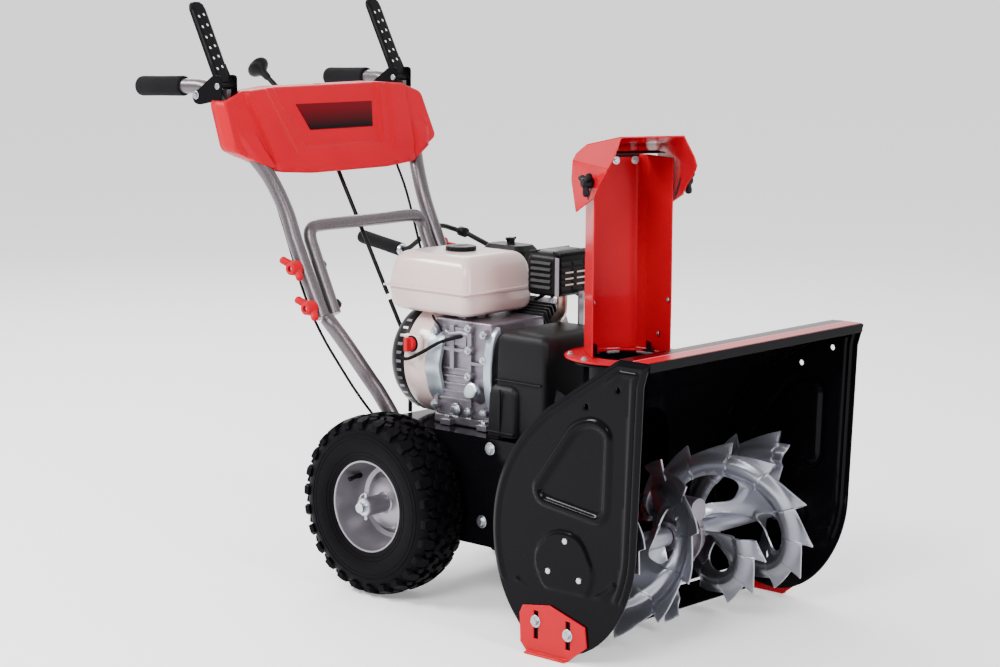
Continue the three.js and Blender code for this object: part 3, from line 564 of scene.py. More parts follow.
def build_housing():
    rim = evenly(np.vstack([SIDE_OUTLINE, SIDE_OUTLINE[:1]]), 4.0)
    rim_steps = (3, 6, 8.5, 11, 15, 18, 21, 24, 27)
    feature_lines = [offset_ring(rim, side * d) for d in rim_steps for side in (-1, 1)]
    feature_lines = [ring[inside(ring, SIDE_OUTLINE)] for ring in feature_lines]
    for emboss, steps in ((WINDOW_EMBOSS, (-8, -5, -3, 0, 3, 5, 8, 12)), (BEARING_EMBOSS, (-6, -4, -2, 0))):
        feature_lines += [offset_ring(emboss, d) for d in steps] + [offset_ring(emboss, -d) for d in steps]
    feature_lines += [[p + np.array([0, d]) for p in SHOE_EMBOSS] for d in (-6, -3, 0, 3, 6)]
    for side, sign in SIDES:
        plate(f"side_plate_{side}_sheet", SIDE_OUTLINE, side_height,
              lambda u, v, h, s=sign: (s * (SIDE_X + h), u, v), "black_enamel", "frame", spacing=6,
              lines=feature_lines, holes=[circle((-637, 468), 5), circle((-571, 433), 5)],
              replaces=f"side_plate_{side}", thickness=2.6, bevel=0.5)
        trim = Mould()
        for y, z in ((-533, 204), (-497, 148), (-564, 143)):
            trim.hexagon((sign * 300, y, z), (sign, 0, 0), 10, 4.5)
        for y, z in ((-471, 57), (-541, 46)):
            trim.hexagon((sign * 303.5, y, z), (sign, 0, 0), 12, 6)
        trim.done(f"side_bolts_{side}", "zinc", "frame", bevel=0.4, rounds=1)
        cup = Mould().lathe((sign * 282, AUGER_Y, AUGER_Z), (sign, 0, 0),
                            [(0, 12), (0, 24), (12, 26), (14, 26), (14, 12)], 28)
        cup.done(f"bearing_cup_{side}", "dark_steel", "frame", bevel=0.6)
        refined(f"skid_shoe_{side}", "red_paint", bevel=1.6, rounds=3)
    refined("housing_shell", "black_enamel", bevel=1.2)
    # Top stripe bands: red, then a thin pale red line painted as a highlight, then a darker red strip.
    for name, look, low, high in (("red", "red_paint", -697, -668), ("line", "pale_red_highlight", -668, -664),
                                  ("dark", "dark_red", -664, -650)):
        band = Mould().block((-296, low, 517.9), (296, high, 518.5))
        band.done(f"top_stripe_{name}", look, "frame")
    refined("scraper_bar", "black_enamel", bevel=0.8)
    refined("impeller_drum", "black_enamel", bevel=0.9)
    refined("impeller", "red_paint", bevel=0.8)
    refined("impeller_shaft", "zinc", bevel=0.5)


def flight_sheet(sign, start):
    """A pressed auger flight: serrated rim, rounded rib and three webs with open windows between."""
    x0, x1 = (-270, -47) if sign < 0 else (44, 267)
    turn = 1.6 * math.pi
    teeth, root, tip_low, tooth_depth = 11, 15, 125, 21
    rows, columns = 220, 30
    window_middles, window_half = (0.275, 0.70), 0.128
    window_radius, window_reach, roundness = 61, 25, 3.2
    t_grid, v_grid = np.meshgrid(np.linspace(0, 1, rows + 1), np.linspace(0, 1, columns + 1), indexing="ij")
    angle = start + sign * turn * t_grid
    tooth = (angle / (2 * math.pi) * teeth) % 1.0
    outer = tip_low + tooth_depth * tooth ** 1.6
    radius = root + v_grid * (outer - root)

    def window_value(t, r):
        across = np.abs((r - window_radius) / window_reach) ** roundness
        return np.min([np.abs((t - middle) / window_half) ** roundness + across
                       for middle in window_middles], axis=0)

    value = window_value(t_grid, radius)
    middle_value = (value[:-1, :-1] + value[1:, :-1] + value[1:, 1:] + value[:-1, 1:]) / 4
    keep = middle_value > 1.0
    for i, k in zip(*np.nonzero(value < 2.2)):
        cells = keep[max(i - 1, 0):i + 1, max(k - 1, 0):k + 1]
        if cells.any() and not cells.all():
            t, r = t_grid[i, k], radius[i, k]
            middle = min(window_middles, key=lambda m: abs(t - m))
            scale = window_value(np.array(t), np.array(r)) ** (-1 / roundness)
            t_grid[i, k] = middle + (t - middle) * scale
            radius[i, k] = window_radius + (r - window_radius) * scale
    angle = start + sign * turn * t_grid
    near_window = window_value(t_grid, radius)
    rib = 11 * smooth_step(radius, 82, 97) * smooth_step(radius, 124, 106)
    lip = 4 * smooth_step(near_window, 2.6, 1.1) * smooth_step(radius, 100, 84)
    hub = 7 * smooth_step(radius, 44, 18)
    tip = 9 * np.clip(tooth, 0, 1) ** 3 * smooth_step(radius, 122, 145)
    x = x0 + (x1 - x0) * t_grid + 1.5 - sign * (rib + lip + hub * 0.3 - tip)
    points = np.stack([x, AUGER_Y + radius * np.cos(angle), AUGER_Z + radius * np.sin(angle)], -1)
    faces = [face for face, kept in zip(grid_faces(rows, columns), keep.ravel()) if kept]
    return points.reshape(-1, 3), faces


def build_augers():
    for side, sign in SIDES:
        mould = Mould()
        for start in (0, math.pi):
            mould.add(*flight_sheet(sign, start))
        obj = mould.done(f"auger_{side}_flights", "auger_steel", "auger", replaces=f"auger_{side}", smooth=50)
        thicken(obj, 2.8)
        bevel_edges(obj, "edge", 0.7, 2, 55)
        low, high = (-278, -36) if sign < 0 else (36, 278)
        length = high - low
        sleeve = Mould().lathe((low, AUGER_Y, AUGER_Z), (1, 0, 0),
                               [(0, 10.4), (0, 16), (1, 17), (length - 1, 17), (length, 16), (length, 10.4)],
                               32)
        sleeve.hexagon((low + 30, AUGER_Y, AUGER_Z + 17), (0, 0, 1), 10, 5)
        sleeve.hexagon((high - 24, AUGER_Y, AUGER_Z + 17), (0, 0, 1), 10, 5)
        sleeve.done(f"auger_{side}_sleeve", "auger_steel", "auger", bevel=0.4, rounds=1)
    refined("auger_shaft", "zinc", bevel=0.6)
    refined("worm_wheel", "bronze", bevel=0.3)
    refined("gearbox_case", "cast_aluminium", bevel=1.6, rounds=3)
    flange = Mould()
    flange.lathe((-3.2, AUGER_Y, AUGER_Z), (1, 0, 0),
                 [(0, 44.5), (0, 52), (0.8, 53), (5.6, 53), (6.4, 52), (6.4, 44.5)], 40)
    for a in np.radians((20, 92, 164, 236, 308)):
        at = (-5, AUGER_Y + 49 * math.cos(a), AUGER_Z + 49 * math.sin(a))
        flange.lathe(at, (1, 0, 0), [(0, 6.5), (10, 6.5)], 14)
        flange.hexagon(at, (-1, 0, 0), 8, 4)
    flange.done("gearbox_flange", "cast_aluminium", "frame", bevel=0.6)
    collar = Mould()
    collar.lathe((0, -480, 212), (0, 1, 0), [(0, 21.2), (0, 25), (2, 26), (8, 26), (10, 25), (10, 21.2)], 28)
    for sign in (-1, 1):
        collar.lathe((sign * 27, AUGER_Y, AUGER_Z), (sign, 0, 0),
                     [(0, 20.2), (0, 24), (1, 25), (5, 25), (6, 24), (6, 20.2)], 28)
    collar.done("gearbox_collars", "cast_aluminium", "frame", bevel=0.4)


# ---------------------------------------------------------------- chute and deflector
CHUTE_FRAME = Matrix.Translation((0, -408, 0)) @ Matrix.Rotation(math.radians(-28), 4, "Z")
CHUTE_LOW, CHUTE_TOP = 464.4, 807.8
HINGE_Y, HINGE_Z = 54, 811
KNOB_Y, KNOB_Z = -38, 770


def in_chute(points):
    return [tuple(CHUTE_FRAME @ Vector(p)) for p in points]


class ChuteMould(Mould):
    """A mould whose points are given in the chute's own frame: its open front faces -Y."""

    def add(self, points, faces):
        return super().add(in_chute(points), faces)


def build_chute():
    left = [(-73, -25), (-59, 44)] + [tuple(p) for p in bezier((-59, 44), (-56, 68), (-34, 68.7), count=10)]
    right = [(44, 68.7), (47, 68), (58, 52), (59, 48), (73, -25)]
    profile = evenly(left + [(-20, 68.7), (20, 68.7)] + right, 3.0)
    heights = np.linspace(CHUTE_LOW, CHUTE_TOP, 30)
    points = [(x * (1 + 0.004 * math.sin(z / 40)), y, z) for z in heights for x, y in profile]
    faces = grid_faces(len(heights) - 1, len(profile) - 1)
    obj = piece("chute_sheet", in_chute(points), faces, "red_paint", "chute", "chute", smooth=50)
    thicken(obj, 2.4)
    bevel_edges(obj, "edge", 0.9, 3, 50)

    refined("chute_ring", "red_paint", bevel=1.0)
    refined("deflector", "red_paint", bevel=0.9)
    bolts = ChuteMould()
    for x in (-36, 4, 40):
        bolts.hexagon((x, 67.4, 797), (0, -1, 0), 8, 4)
    for angle in (200, 252, 305, 345, 20, 100, 160):
        a = math.radians(angle)
        bolts.hexagon((97 * math.cos(a), 97 * math.sin(a), 464), (0, 0, 1), 8, 4)
    for sign in (-1, 1):
        bolts.hexagon((sign * 64, 8, 497), (-sign, 0.16, 0), 6, 2.5)
        bolts.hexagon((sign * 70.5, -18, 560), (-sign, 0.16, 0), 6, 2.5)
    bolts.done("chute_bolts", "zinc", "chute", bevel=0.3, rounds=1)
    flap = ChuteMould()
    flap.block((-50, 66.2, 803), (50, 67.6, 807.9))
    flap.done("chute_flap", "rubber", "chute", bevel=0.3)
    seam = ChuteMould()
    seam.pipe([(53, 58.5, CHUTE_LOW + 2), (53.5, 58.5, 640), (54, 58.5, CHUTE_TOP - 4)], 1.3, sides=8)
    seam.done("chute_seam", "red_paint", "chute")
    foot = ChuteMould()
    for x in (-52, 50):
        foot.block((x - 7, 8, 464.4), (x + 7, 30, 467))
        foot.block((x - 1.5, 8, 464.4), (x + 1.5, 26, 482))
    foot.done("chute_feet", "black_satin", "chute", bevel=0.5)
    rubber = ChuteMould()
    rubber.block((-60, -20, 816), (60, 18, 817.6))
    rubber.done("deflector_liner", "rubber", "deflector", bevel=0.3)


def build_deflector_knobs():
    """Dark strips painted as shade where the curved slots cut the deflector's cheeks, with their three-winged
    knobs.
    """
    reach = math.hypot(HINGE_Y - KNOB_Y, HINGE_Z - KNOB_Z)
    start = math.atan2(KNOB_Z - HINGE_Z, KNOB_Y - HINGE_Y)
    for side, sign in SIDES:
        # Thin black strips on both faces of the cheek: painted shade for the open slot.
        slot_shade = ChuteMould()
        arc = [start + math.radians(d) for d in np.linspace(-3, 21, 14)]
        for face in (79.85, 82.15):
            corners = [(face + dx, reach + dr) for dx, dr in ((0, -3.2), (0.45, -3.2), (0.45, 3.2), (0, 3.2))]
            slot_shade.rings([[(sign * x, HINGE_Y + r * math.cos(a), HINGE_Z + r * math.sin(a)) for x, r in corners]
                        for a in arc])
        slot_shade.done(f"deflector_slot_shade_{side}", "black_satin", "deflector")
        knob = ChuteMould()
        knob.lathe((sign * 83, KNOB_Y, KNOB_Z), (sign, 0, 0),
                   [(0, 7), (0, 9), (2, 10), (8, 10), (10, 9), (17, 8.5), (19, 7)], 24)
        for turn in (20, 140, 260):
            a = math.radians(turn)
            path = [(sign * 95, KNOB_Y + r * math.cos(a), KNOB_Z + r * math.sin(a))
                    for r in (2, 6, 12, 17, 20.5, 23, 24)]
            knob.pipe(path, [5, 5.2, 5.6, 6.2, 6.0, 4.4, 2], sides=14)
        knob.done(f"deflector_wing_{side}", "black_plastic", f"deflector_knob_{side}",
                  replaces=f"deflector_knob_{side}", smooth=50)


# ---------------------------------------------------------------- wheels
WHEEL_R, TRACK, TREAD_HALF = 165.0, 190.0, 51.5


def crown(x):
    """Radius of the tread blocks' tops at a distance from the tyre's middle plane."""
    return WHEEL_R - 0.25 - 9.5 * (abs(x) / TREAD_HALF) ** 3.4


def tread_block(mould, sign, angle, outline, depth):
    """A rubber block from a (distance round the tread, distance across it) outline."""
    centre = np.mean(outline, axis=0)
    rings = []
    for lift, grow in ((-depth, 1.10), (-depth * 0.4, 1.03), (-0.9, 1.0), (0, 0.93)):
        ring = []
        for s, x in centre + (np.array(outline) - centre) * grow:
            x = max(-TREAD_HALF, min(TREAD_HALF, x))
            a, r = angle + s / WHEEL_R, crown(x) + lift
            ring.append((sign * TRACK + x, r * math.cos(a), WHEEL_R + r * math.sin(a)))
        rings.append(ring)
    mould.rings(rings)


def about_axle(profile, count):
    """Rings of (x, radius) pairs turned about the axle."""
    return [[(x, r * math.cos(a), WHEEL_R + r * math.sin(a)) for x, r in profile] for a in around(count)]


def build_wheels():
    for side, sign in SIDES:
        build_tyre(side, sign)
        build_rim(side, sign)
    refined("axle_shaft", "zinc", bevel=0.8)


def build_tyre(side, sign):
    carcass = Mould()
    wall = [(-43, 84), (-46, 90), (-48.4, 98), (-50.4, 108), (-51.2, 118), (-50.8, 128), (-49.6, 137),
            (-46.6, 146), (-42, 152), (-36, 155.2), (-22, 156.6), (0, 157)]
    outer = wall + [(-x, r) for x, r in wall[-2::-1]]
    inner = [(34, 84), (38, 110), (32, 140), (-32, 140), (-38, 110), (-34, 84)]
    carcass.rings(about_axle([(sign * TRACK + x, r) for x, r in outer + inner], 72), closed=True)
    for face in (-1, 1):
        for radius, width in ((93, 1.2), (99.5, 0.8), (124, 0.8), (131, 1.2)):
            bulge = np.interp(radius, [84, 98, 118, 128, 137], [43, 48.4, 51.0, 50.6, 49.4])
            line = [ring[0] for ring in about_axle([(sign * TRACK + face * bulge, radius)], 72)]
            carcass.pipe(line + line[:1], width, sides=6, cap=False)
    carcass.done(f"tyre_{side}_carcass", "tyre", "axle", replaces=f"tyre_{side}", smooth=60)
    shoulder = [(0, 30), (9, 26), (17, 31), (19, 41), (17, 51.4), (2, 51.4), (-3, 42)]
    middle = [(2, 3), (13, 1), (15, 13), (26, 16), (25, 24.5), (11, 25), (7, 16), (-4, 14)]
    foot = [(20, 33), (33, 27), (36, 36), (24, 41)]
    pitches = 26
    lugs = Mould()
    for i in range(pitches):
        for half in (-1, 1):
            angle = (i + (0.5 if half > 0 else 0)) * 2 * math.pi / pitches
            for outline, depth in ((shoulder, 11.5), (middle, 8.2), (foot, 8.2)):
                tread_block(lugs, sign, angle, [(s, half * x) for s, x in outline], depth)
    lugs.done(f"tyre_{side}_lugs", "tyre", "axle", bevel=0.7, rounds=1)


def build_rim(side, sign):
    """The rim with its hub, its pin and the valve."""
    rim = Mould()
    hub_in = [(-50, 9.8), (-50, 16.6), (-49.2, 17), (-9, 17), (-8, 20)]
    dish_in = [(-11, 44), (-15, 52), (-34, 69), (-42, 78)]
    edge = [(43.6, 80.8), (44, 83.6), (42, 84.4), (39, 82.6), (30, 80)]
    dish_out = [(40, 79.4), (26, 77), (8, 74), (-6, 71), (-16, 66), (-19, 58), (-14, 51), (-6, 46),
                (-1.5, 34)]
    hub_out = [(-2, 20), (-0.5, 17), (49.2, 17), (50, 16.6), (50, 9.8)]
    profile = [*hub_in, *dish_in, *[(-x, r) for x, r in edge], *edge[::-1], *dish_out, *hub_out]
    rim.rings(about_axle([(sign * (TRACK + x), r) for x, r in profile], 80), closed=True)
    rim.done(f"rim_{side}_dish", "silver_rim", "axle", replaces=f"rim_{side}", smooth=28)
    trim = Mould()
    pin = sign * (TRACK + 44)
    trim.pipe([(pin, 0, WHEEL_R - 24), (pin, 0, WHEEL_R + 26)], 3, sides=12)
    loop = [(pin, 17.5 * math.sin(a), WHEEL_R + 3 + 21.5 * math.cos(a))
            for a in np.linspace(0, math.pi, 14)]
    trim.pipe(loop, 1.4, sides=8)
    trim.lathe((sign * (TRACK + 50.2), 0, WHEEL_R), (sign, 0, 0),
               [(0, 10.5), (0, 15), (1.2, 15), (1.2, 9.4), (11, 9.4), (12, 8.6)], 28)
    trim.done(f"wheel_pin_{side}", "zinc", "axle", bevel=0.2, rounds=1)
    valve = Mould()
    at = (sign * (TRACK + 2), 0.80 * 72, WHEEL_R + 0.60 * 72)
    valve.lathe(at, (sign, -0.12, -0.09),
                [(0, 5.4), (6, 5), (9, 3.4), (24, 3.2), (24.4, 4), (31, 4), (32, 3)], 16)
    valve.done(f"tyre_valve_{side}", "rubber", "axle")


# ---------------------------------------------------------------- engine
ENGINE_Z = 410


def rounded_ring(centre, half, corner, z, count=8):
    """A rounded rectangle at height z, as a ring of points."""
    ring = []
    for quarter, (sx, sy) in enumerate(((1, 1), (-1, 1), (-1, -1), (1, -1))):
        for a in np.linspace(0, math.pi / 2, count) + quarter * math.pi / 2:
            ring.append((centre[0] + sx * (half[0] - corner) + corner * math.cos(a),
                         centre[1] + sy * (half[1] - corner) + corner * math.sin(a), z))
    return ring


TANK_X, TANK_Y = -5, -17


def build_tank():
    base = [(503.2, -25), (503.9, -20), (506.5, -12), (511, -6.5), (518, -3.4), (530, -1.4), (541, -0.4),
            (543, 0)]
    seam = [(543.6, -0.8), (544.6, -0.8), (545.2, 0), (546.4, 0.2), (547, 3.4), (547.6, 4), (550.4, 4),
            (551, 3.4), (551.6, 0.4)]
    lid = [(553, 0), (566, -1.6), (580, -4), (592, -7.4), (600, -11), (606, -15.5), (610, -21), (612.2, -27),
           (612.8, -34)]
    tank = Mould()
    tank.rings([rounded_ring((TANK_X, TANK_Y), (93 + g, 102 + g), max(7, 19 + g * 0.35), z, 9)
                for z, g in base + seam + lid])
    for sx in (-1, 1):
        for sy in (-1, 1):
            tank.lathe((TANK_X + sx * 91, TANK_Y + sy * 100, 547.6), (0, 0, 1),
                       [(0, 7.4), (0.4, 8), (2.4, 8), (2.8, 7.4)], 20)
    tank.done("fuel_tank_shell", "cream_paint", "frame", replaces="fuel_tank", smooth=24)
    rail = Mould()
    for y in (-92, 52):
        rail.block((-40, y - 5, 498), (-24, y + 5, 506))
    rail.done("tank_mounts", "cast_aluminium", "frame", bevel=1.2)
    neck = Mould().lathe((TANK_X, TANK_Y, 612.6), (0, 0, 1), [(0, 31), (0.6, 30), (0.7, 24)], 40)
    neck.done("fuel_neck", "zinc", "frame")
    cap = Mould()
    rings = []
    for z, radius, grip in ((613.5, 26, 0), (613.6, 28, 0.3), (614.6, 28.6, 1), (619.4, 28.6, 1),
                            (620.8, 27.4, 0.5), (621.6, 25, 0)):
        ribbed = [(a, radius - grip * 0.9 * (i % 4 > 1)) for i, a in enumerate(around(72))]
        rings.append([(TANK_X + r * math.cos(a), TANK_Y + r * math.sin(a), z) for a, r in ribbed])
    cap.rings(rings)
    cap.block((-22, -20, 621), (12, -14, 622.2))
    cap.done("fuel_cap_body", "black_plastic", "fuel_cap", replaces="fuel_cap", bevel=0.3, rounds=1)


def about_crankshaft(profile, top, flute=0.0):
    """Rings of (y, radius) pairs turned about the crankshaft, flat where they reach top(radius)."""
    rings = []
    for a in around(96):
        swell = 1 + flute * math.cos(12 * a)
        rings.append([(r * swell * math.cos(a), y, min(top(r), ENGINE_Z + r * swell * math.sin(a)))
                      for y, r in profile])
    return rings


def build_fan():
    shell = Mould()
    profile = [(-20, 98), (-20, 102), (-18, 103.6), (-14, 104), (30, 104), (33, 103.2), (34, 101), (34, 88),
               (31, 88), (30, 98), (24, 101), (-16, 101)]
    shell.rings(about_crankshaft(profile, lambda r: 501.6), closed=True)
    shell.done("fan_shroud", "cream_paint", "frame", replaces="fan_housing", smooth=30)
    box = Mould()
    box.block((-110.4, -14, 431), (-98, 27, 465))
    box.done("switch_box", "cream_paint", "frame", bevel=4, rounds=3)
    face = Mould().lathe((-110.3, 6, 448), (-1, 0, 0), [(0, 15.5), (0.7, 15.5), (1, 14.6)], 32)
    face.done("switch_plate", "black_satin", "frame")
    switch = Mould()
    switch.lathe((-111.5, 6, 448), (-1, 0, 0), [(0, 12.6), (6, 12.6), (8.6, 11.6), (9.6, 9)], 32)
    switch.block((-128, 1.6, 435), (-119.5, 10.4, 461))
    switch.done("engine_switch_knob", "red_paint", "engine_switch", replaces="engine_switch", bevel=1.2)

    dome = Mould()
    outer = [(35, 101.6), (36, 102.8), (50, 103), (58, 101.6), (66, 98.4), (74, 93.4), (82, 86), (89, 75),
             (94.6, 60), (98.2, 40), (99.6, 16), (99.8, 0.5)]
    inner = [(97.2, 0.5), (96, 40), (92, 58), (86, 72), (79, 83), (70, 91.6), (60, 97), (48, 100), (35, 100)]
    dome.rings(about_crankshaft(outer + inner, lambda r: 501.2 - 0.2 * (r < 96)), closed=True)
    dome.done("recoil_dome", "black_satin", "frame", replaces="recoil_cover", smooth=40)
    slots = Mould()
    for a in around(40):
        if math.sin(a) < 0.8:
            turn = Matrix.Translation((0, 0, ENGINE_Z)) @ Matrix.Rotation(-a, 4, "Y")
            slots.block((101.6, 42, -2.6), (103.5, 54, 2.6), turn)
    middle = Matrix.Translation((54, 94, 0))
    for a in around(20):
        turn = Matrix.Translation((0, 0, ENGINE_Z)) @ Matrix.Rotation(-a, 4, "Y")
        slope = middle @ Matrix.Rotation(-0.42, 4, "Z") @ middle.inverted()
        slots.block((44, 94.6, -3), (64, 97.4, 3), turn @ slope)
    slots.done("recoil_slots", "silver_rim", "frame", bevel=0.3, rounds=1)
    build_starter()
    refined("crankshaft", "dark_steel", bevel=0.6)


def build_starter():
    """The grip, and the cord from inside the cover to it."""
    refined("starter_grip", "black_plastic", bevel=3.5, rounds=3)
    grip = Vector((64, 111, 470))
    pull = Vector((0, 0.848559, 0.529101))
    cord = Mould().pipe([grip - pull * (36 - 2 * step) for step in range(17)], 2, sides=10)
    rope = cord.done("starter_cord", "rubber", None, smooth=60)
    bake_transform(rope)


# The cylinder's own frame: its +X runs out along the bore, which leans up from the crankshaft.
CYLINDER = leaning((0, -98, ENGINE_Z), -25, "Y")
# (y, z) of the bolts round the crankcase's right face.
CASE_BOLTS = ((-113, 486), (-113, 446), (-113, 398), (-113, 334), (-150, 478), (-150, 432), (-150, 336),
              (-30, 474), (-30, 338))


def build_crankcase():
    case = Mould()
    case.block((-78, -160, 319), (66, -24, 497.6))
    for x in (-78, 46):
        case.block((x, -168, 303.4), (x + 32, -20, 321))
    case.block((44, -44, -44), (144, 44, 44), CYLINDER)
    for x, y in ((-55, -70), (40, -40)):
        case.lathe((x, y, 490), (0, 0, 1), [(0, 9), (12.4, 8)], 20)
    case.done("crankcase_block", "cast_aluminium", "frame", replaces="crankcase", bevel=3.5, rounds=3)

    detail = Mould()
    for z in (352, 366, 380, 394, 408):
        detail.block((-82.5, -108, z - 2), (-77, -34, z + 2))
    for y, low, high in ((-113, 322, 492), (-30, 326, 488), (-70, 408, 488)):
        detail.block((-85, y - 5, low), (-77, y + 5, high))
    detail.block((-84, -108, 440), (-77, -34, 446))
    detail.block((-83, -104, 452), (-77, -74, 484))
    detail.block((-88, -156, 420), (-77, -120, 426))
    for y, z in (*CASE_BOLTS, (-150, 392)):
        detail.lathe((-89, y, z), (1, 0, 0), [(0, 7.4), (1, 8.4), (12, 9)], 20)
    detail.lathe((-70, -134, 364), (-0.93, 0, 0.37), [(0, 17), (22, 14), (27, 14)], 28)
    detail.lathe((-78, -80, 334), (-1, 0, 0), [(0, 12), (7, 10.5)], 24)
    detail.pipe([(-80, -118, 470), (-83, -92, 476), (-83, -66, 470), (-80, -44, 478)], 4.5, sides=12)
    for y in (-150, -60):
        detail.block((-92, y - 12, 304), (-74, y + 12, 314))
    detail.done("crankcase_ribs", "cast_aluminium", "frame", bevel=1.4)

    cover = Mould()
    arc = [math.radians(d) for d in np.linspace(-86, 86, 30)]
    rings = [[(-60 - r * math.cos(a) * 0.36, -162 + dy, ENGINE_Z + r * math.sin(a)) for r, dy in
              ((70, -8), (82, -6), (84, 10), (70, 12))] for a in arc]
    cover.rings(rings)
    cover.done("crankcase_cover_rim", "blue_cast", "frame", bevel=1.5)

    bell = Mould()
    profile = [(-48, 88), (-47, 94), (-40, 99.5), (-30, 101), (-24, 102.6), (-20.8, 103), (-20.8, 92),
               (-40, 86)]
    bell.rings(about_crankshaft(profile, lambda r: 497, flute=0.012), closed=True)
    bell.done("engine_bell", "blue_cast", "frame", smooth=40)

    bolts = Mould()
    for y, z in CASE_BOLTS:
        bolts.hexagon((-89, y, z), (-1, 0, 0), 8, 5)
    plug = Vector((-70, -134, 364)) + Vector((-0.93, 0, 0.37)).normalized() * 27
    bolts.lathe(plug, (-0.93, 0, 0.37), [(0, 13), (1, 15.5), (8, 15.5), (11, 14), (12, 10)], 28)
    bolts.hexagon((-85, -80, 334), (-1, 0, 0), 13, 7)
    for y in (-150, -60):
        bolts.hexagon((-83, y, 314), (0, 0, 1), 12, 6)
    bolts.done("engine_bolts", "zinc", "frame", bevel=0.4, rounds=1)


def build_cylinder():
    """The finned cylinder with its head, and the leads of the engine."""
    first, pitch, thickness = 58, 9.2, 3
    fins = Mould()
    for i in range(10):
        x = first + i * pitch
        fins.block((x, -51, -50), (x + thickness, 51, 50), CYLINDER)
    fins.done("cylinder_fins", "dark_steel", "frame", bevel=1.0)
    refined("cylinder_head", "cast_aluminium", bevel=3.0, rounds=3)
    head = Mould()
    for y in (-30, -10, 10, 30):
        head.block((171, y - 2, -38), (177, y + 2, 38), CYLINDER)
    for y, z in ((-34, -30), (34, -30), (-34, 30), (34, 30)):
        head.lathe(CYLINDER @ Vector((170, y, z)), CYLINDER.to_3x3() @ Vector((1, 0, 0)),
                   [(0, 7), (4, 6.4)], 18)
    head.done("cylinder_head_ribs", "cast_aluminium", "frame", bevel=0.8)
    lead = Mould()
    switch_lead = [(-117, 30, 425), (-119, 16, 420), (-118, 0, 424), (-112, -26, 438), (-101, -52, 455),
                   (-90, -74, 464), (-80, -96, 470)]
    governor_lead = [(-92, -52, 476), (-88, -40, 486), (-78, -20, 492), (-66, -4, 496)]
    plug_lead = [(150, -98, 500), (156, -100, 520), (140, -104, 528), (112, -96, 516)]
    for route, radius, sides in ((switch_lead, 3.2, 12), (governor_lead, 2.2, 10), (plug_lead, 3.5, 12)):
        lead.pipe(smooth_path(route), radius, sides=sides)
    lead.done("engine_leads", "rubber", "frame", smooth=60)


def build_air_cleaner():
    refined("air_cleaner", "black_plastic", bevel=3.5, rounds=3)
    nut = Mould()
    for turn in (-1, 1):
        wing = [(126 + turn * reach, -22, z) for reach, z in ((0, 618), (7, 621), (13, 625))]
        nut.pipe(wing, [3.4, 3.2, 2.4], sides=12)
    for z in (548, 553):
        ring = rounded_ring((126, -22), (31.6, 50.6), 16, z, 8)
        nut.pipe(ring + ring[:1], 1.2, sides=6, cap=False)
    nut.done("air_cleaner_nut", "black_satin", "frame")


def build_muffler():
    silencer = Mould()
    levels = [(540, -8), (541, -4), (545, -0.6), (549, 0), (600, 0), (608, -1), (614, -4), (619, -10),
              (622, -20), (623, -30)]
    silencer.rings([rounded_ring((88, -180), (53 + g, 39 + g), max(5, 12 + g * 0.3), z, 8)
                    for z, g in levels])
    silencer.done("muffler_guard", "black_satin", "frame", replaces="muffler", smooth=30)
    louvres = Mould()
    for z in (556, 567, 578, 589, 600):
        louvres.block((-1.6, -24, -3.4), (1.2, 24, 3.4), leaning((34.4, -178, z), 28, "Y"))
        for x in (56, 88, 120):
            louvres.block((-13, -1.2, -3.4), (13, 1.8, 3.4), leaning((x, -141.6, z), 28, "X"))
            louvres.block((-13, -1.8, -3.4), (13, 1.2, 3.4), leaning((x, -218.4, z), -28, "X"))
    for i in range(14):
        for y, degrees in ((-208, 10), (-152, -10)):
            louvres.block((-1.5, -9, -2.4), (1.5, 9, 2.4), leaning((44 + i * 6.8, y, 618.4), degrees, "X"))
    louvres.done("muffler_louvres", "black_plastic", "frame", bevel=0.8)
    steel = Mould()
    for x in (66, 98, 126):
        for z in (561.5, 572.5, 583.5):
            steel.block((x - 11, -219.6, z - 1.4), (x + 11, -217.8, z + 1.4))
    steel.pipe(smooth_path([(62, -206, 544), (62, -206, 528), (66, -202, 512), (82, -184, 500),
                            (102, -158, 488), (112, -140, 478)]), 9.5, sides=22)
    steel.done("exhaust_pipe", "pipe_steel", "frame")
    bracket = Mould()
    # A thin silver strip along the guard's near vertical corner: a painted highlight. The block and bolts
    # below it are the bracket.
    bracket.block((33.4, -219.8, 542), (37, -212.6, 612))
    bracket.block((84, -228, 474), (98, -224.5, 548))
    bracket.hexagon((91, -228, 482), (0, -1, 0), 7, 3)
    bracket.hexagon((91, -228, 540), (0, -1, 0), 7, 3)
    bracket.done("muffler_bracket_and_corner_highlight", "silver_rim", "frame", bevel=0.8)


def build_belt_cover():
    """The two-tiered cover and the frame box it stands on."""
    cover = Mould()
    for centre, half, top in (((0, -239.5), (88, 59.5), 491.6), ((0, -205), (100, 35), 397.6)):
        levels = [(303.5, 3), (top - 60, 0.5), (top - 20, -1), (top - 11, -3), (top - 5, -6.5),
                  (top - 1.6, -12), (top, -19)]
        rings = [rounded_ring(centre, (half[0] + g, half[1] + min(g, 0)), 11, z, 6) for z, g in levels]
        cover.rings(rings, cap=False)
        cover.add(rings[-1], [list(range(len(rings[-1])))])
    cover.done("belt_cover_shell", "black_plastic", "frame", replaces="belt_cover", smooth=32)
    lines = Mould()
    for z, half, (low, high) in ((309, 101, (-238, -172)), (402, 91, (-292, -186))):
        lines.block((-half - 3.2, low, z), (-half + 4, high, z + 3))
    lines.block((-104.6, -206, 303.6), (-101, -202, 388))
    lines.done("belt_cover_seams", "black_plastic", "frame", bevel=1.0)
    refined("auger_belt", "rubber", bevel=0.6)
    refined("frame_box", "black_enamel", bevel=1.0)
    bolts = Mould()
    for y, z in ((-205, 285), (-186, 150), (-60, 285), (52, 250)):
        for sign in (-1, 1):
            bolts.hexagon((sign * 128, y, z), (sign, 0, 0), 13, 6)
    bolts.done("frame_bolts", "zinc", "frame", bevel=0.4, rounds=1)


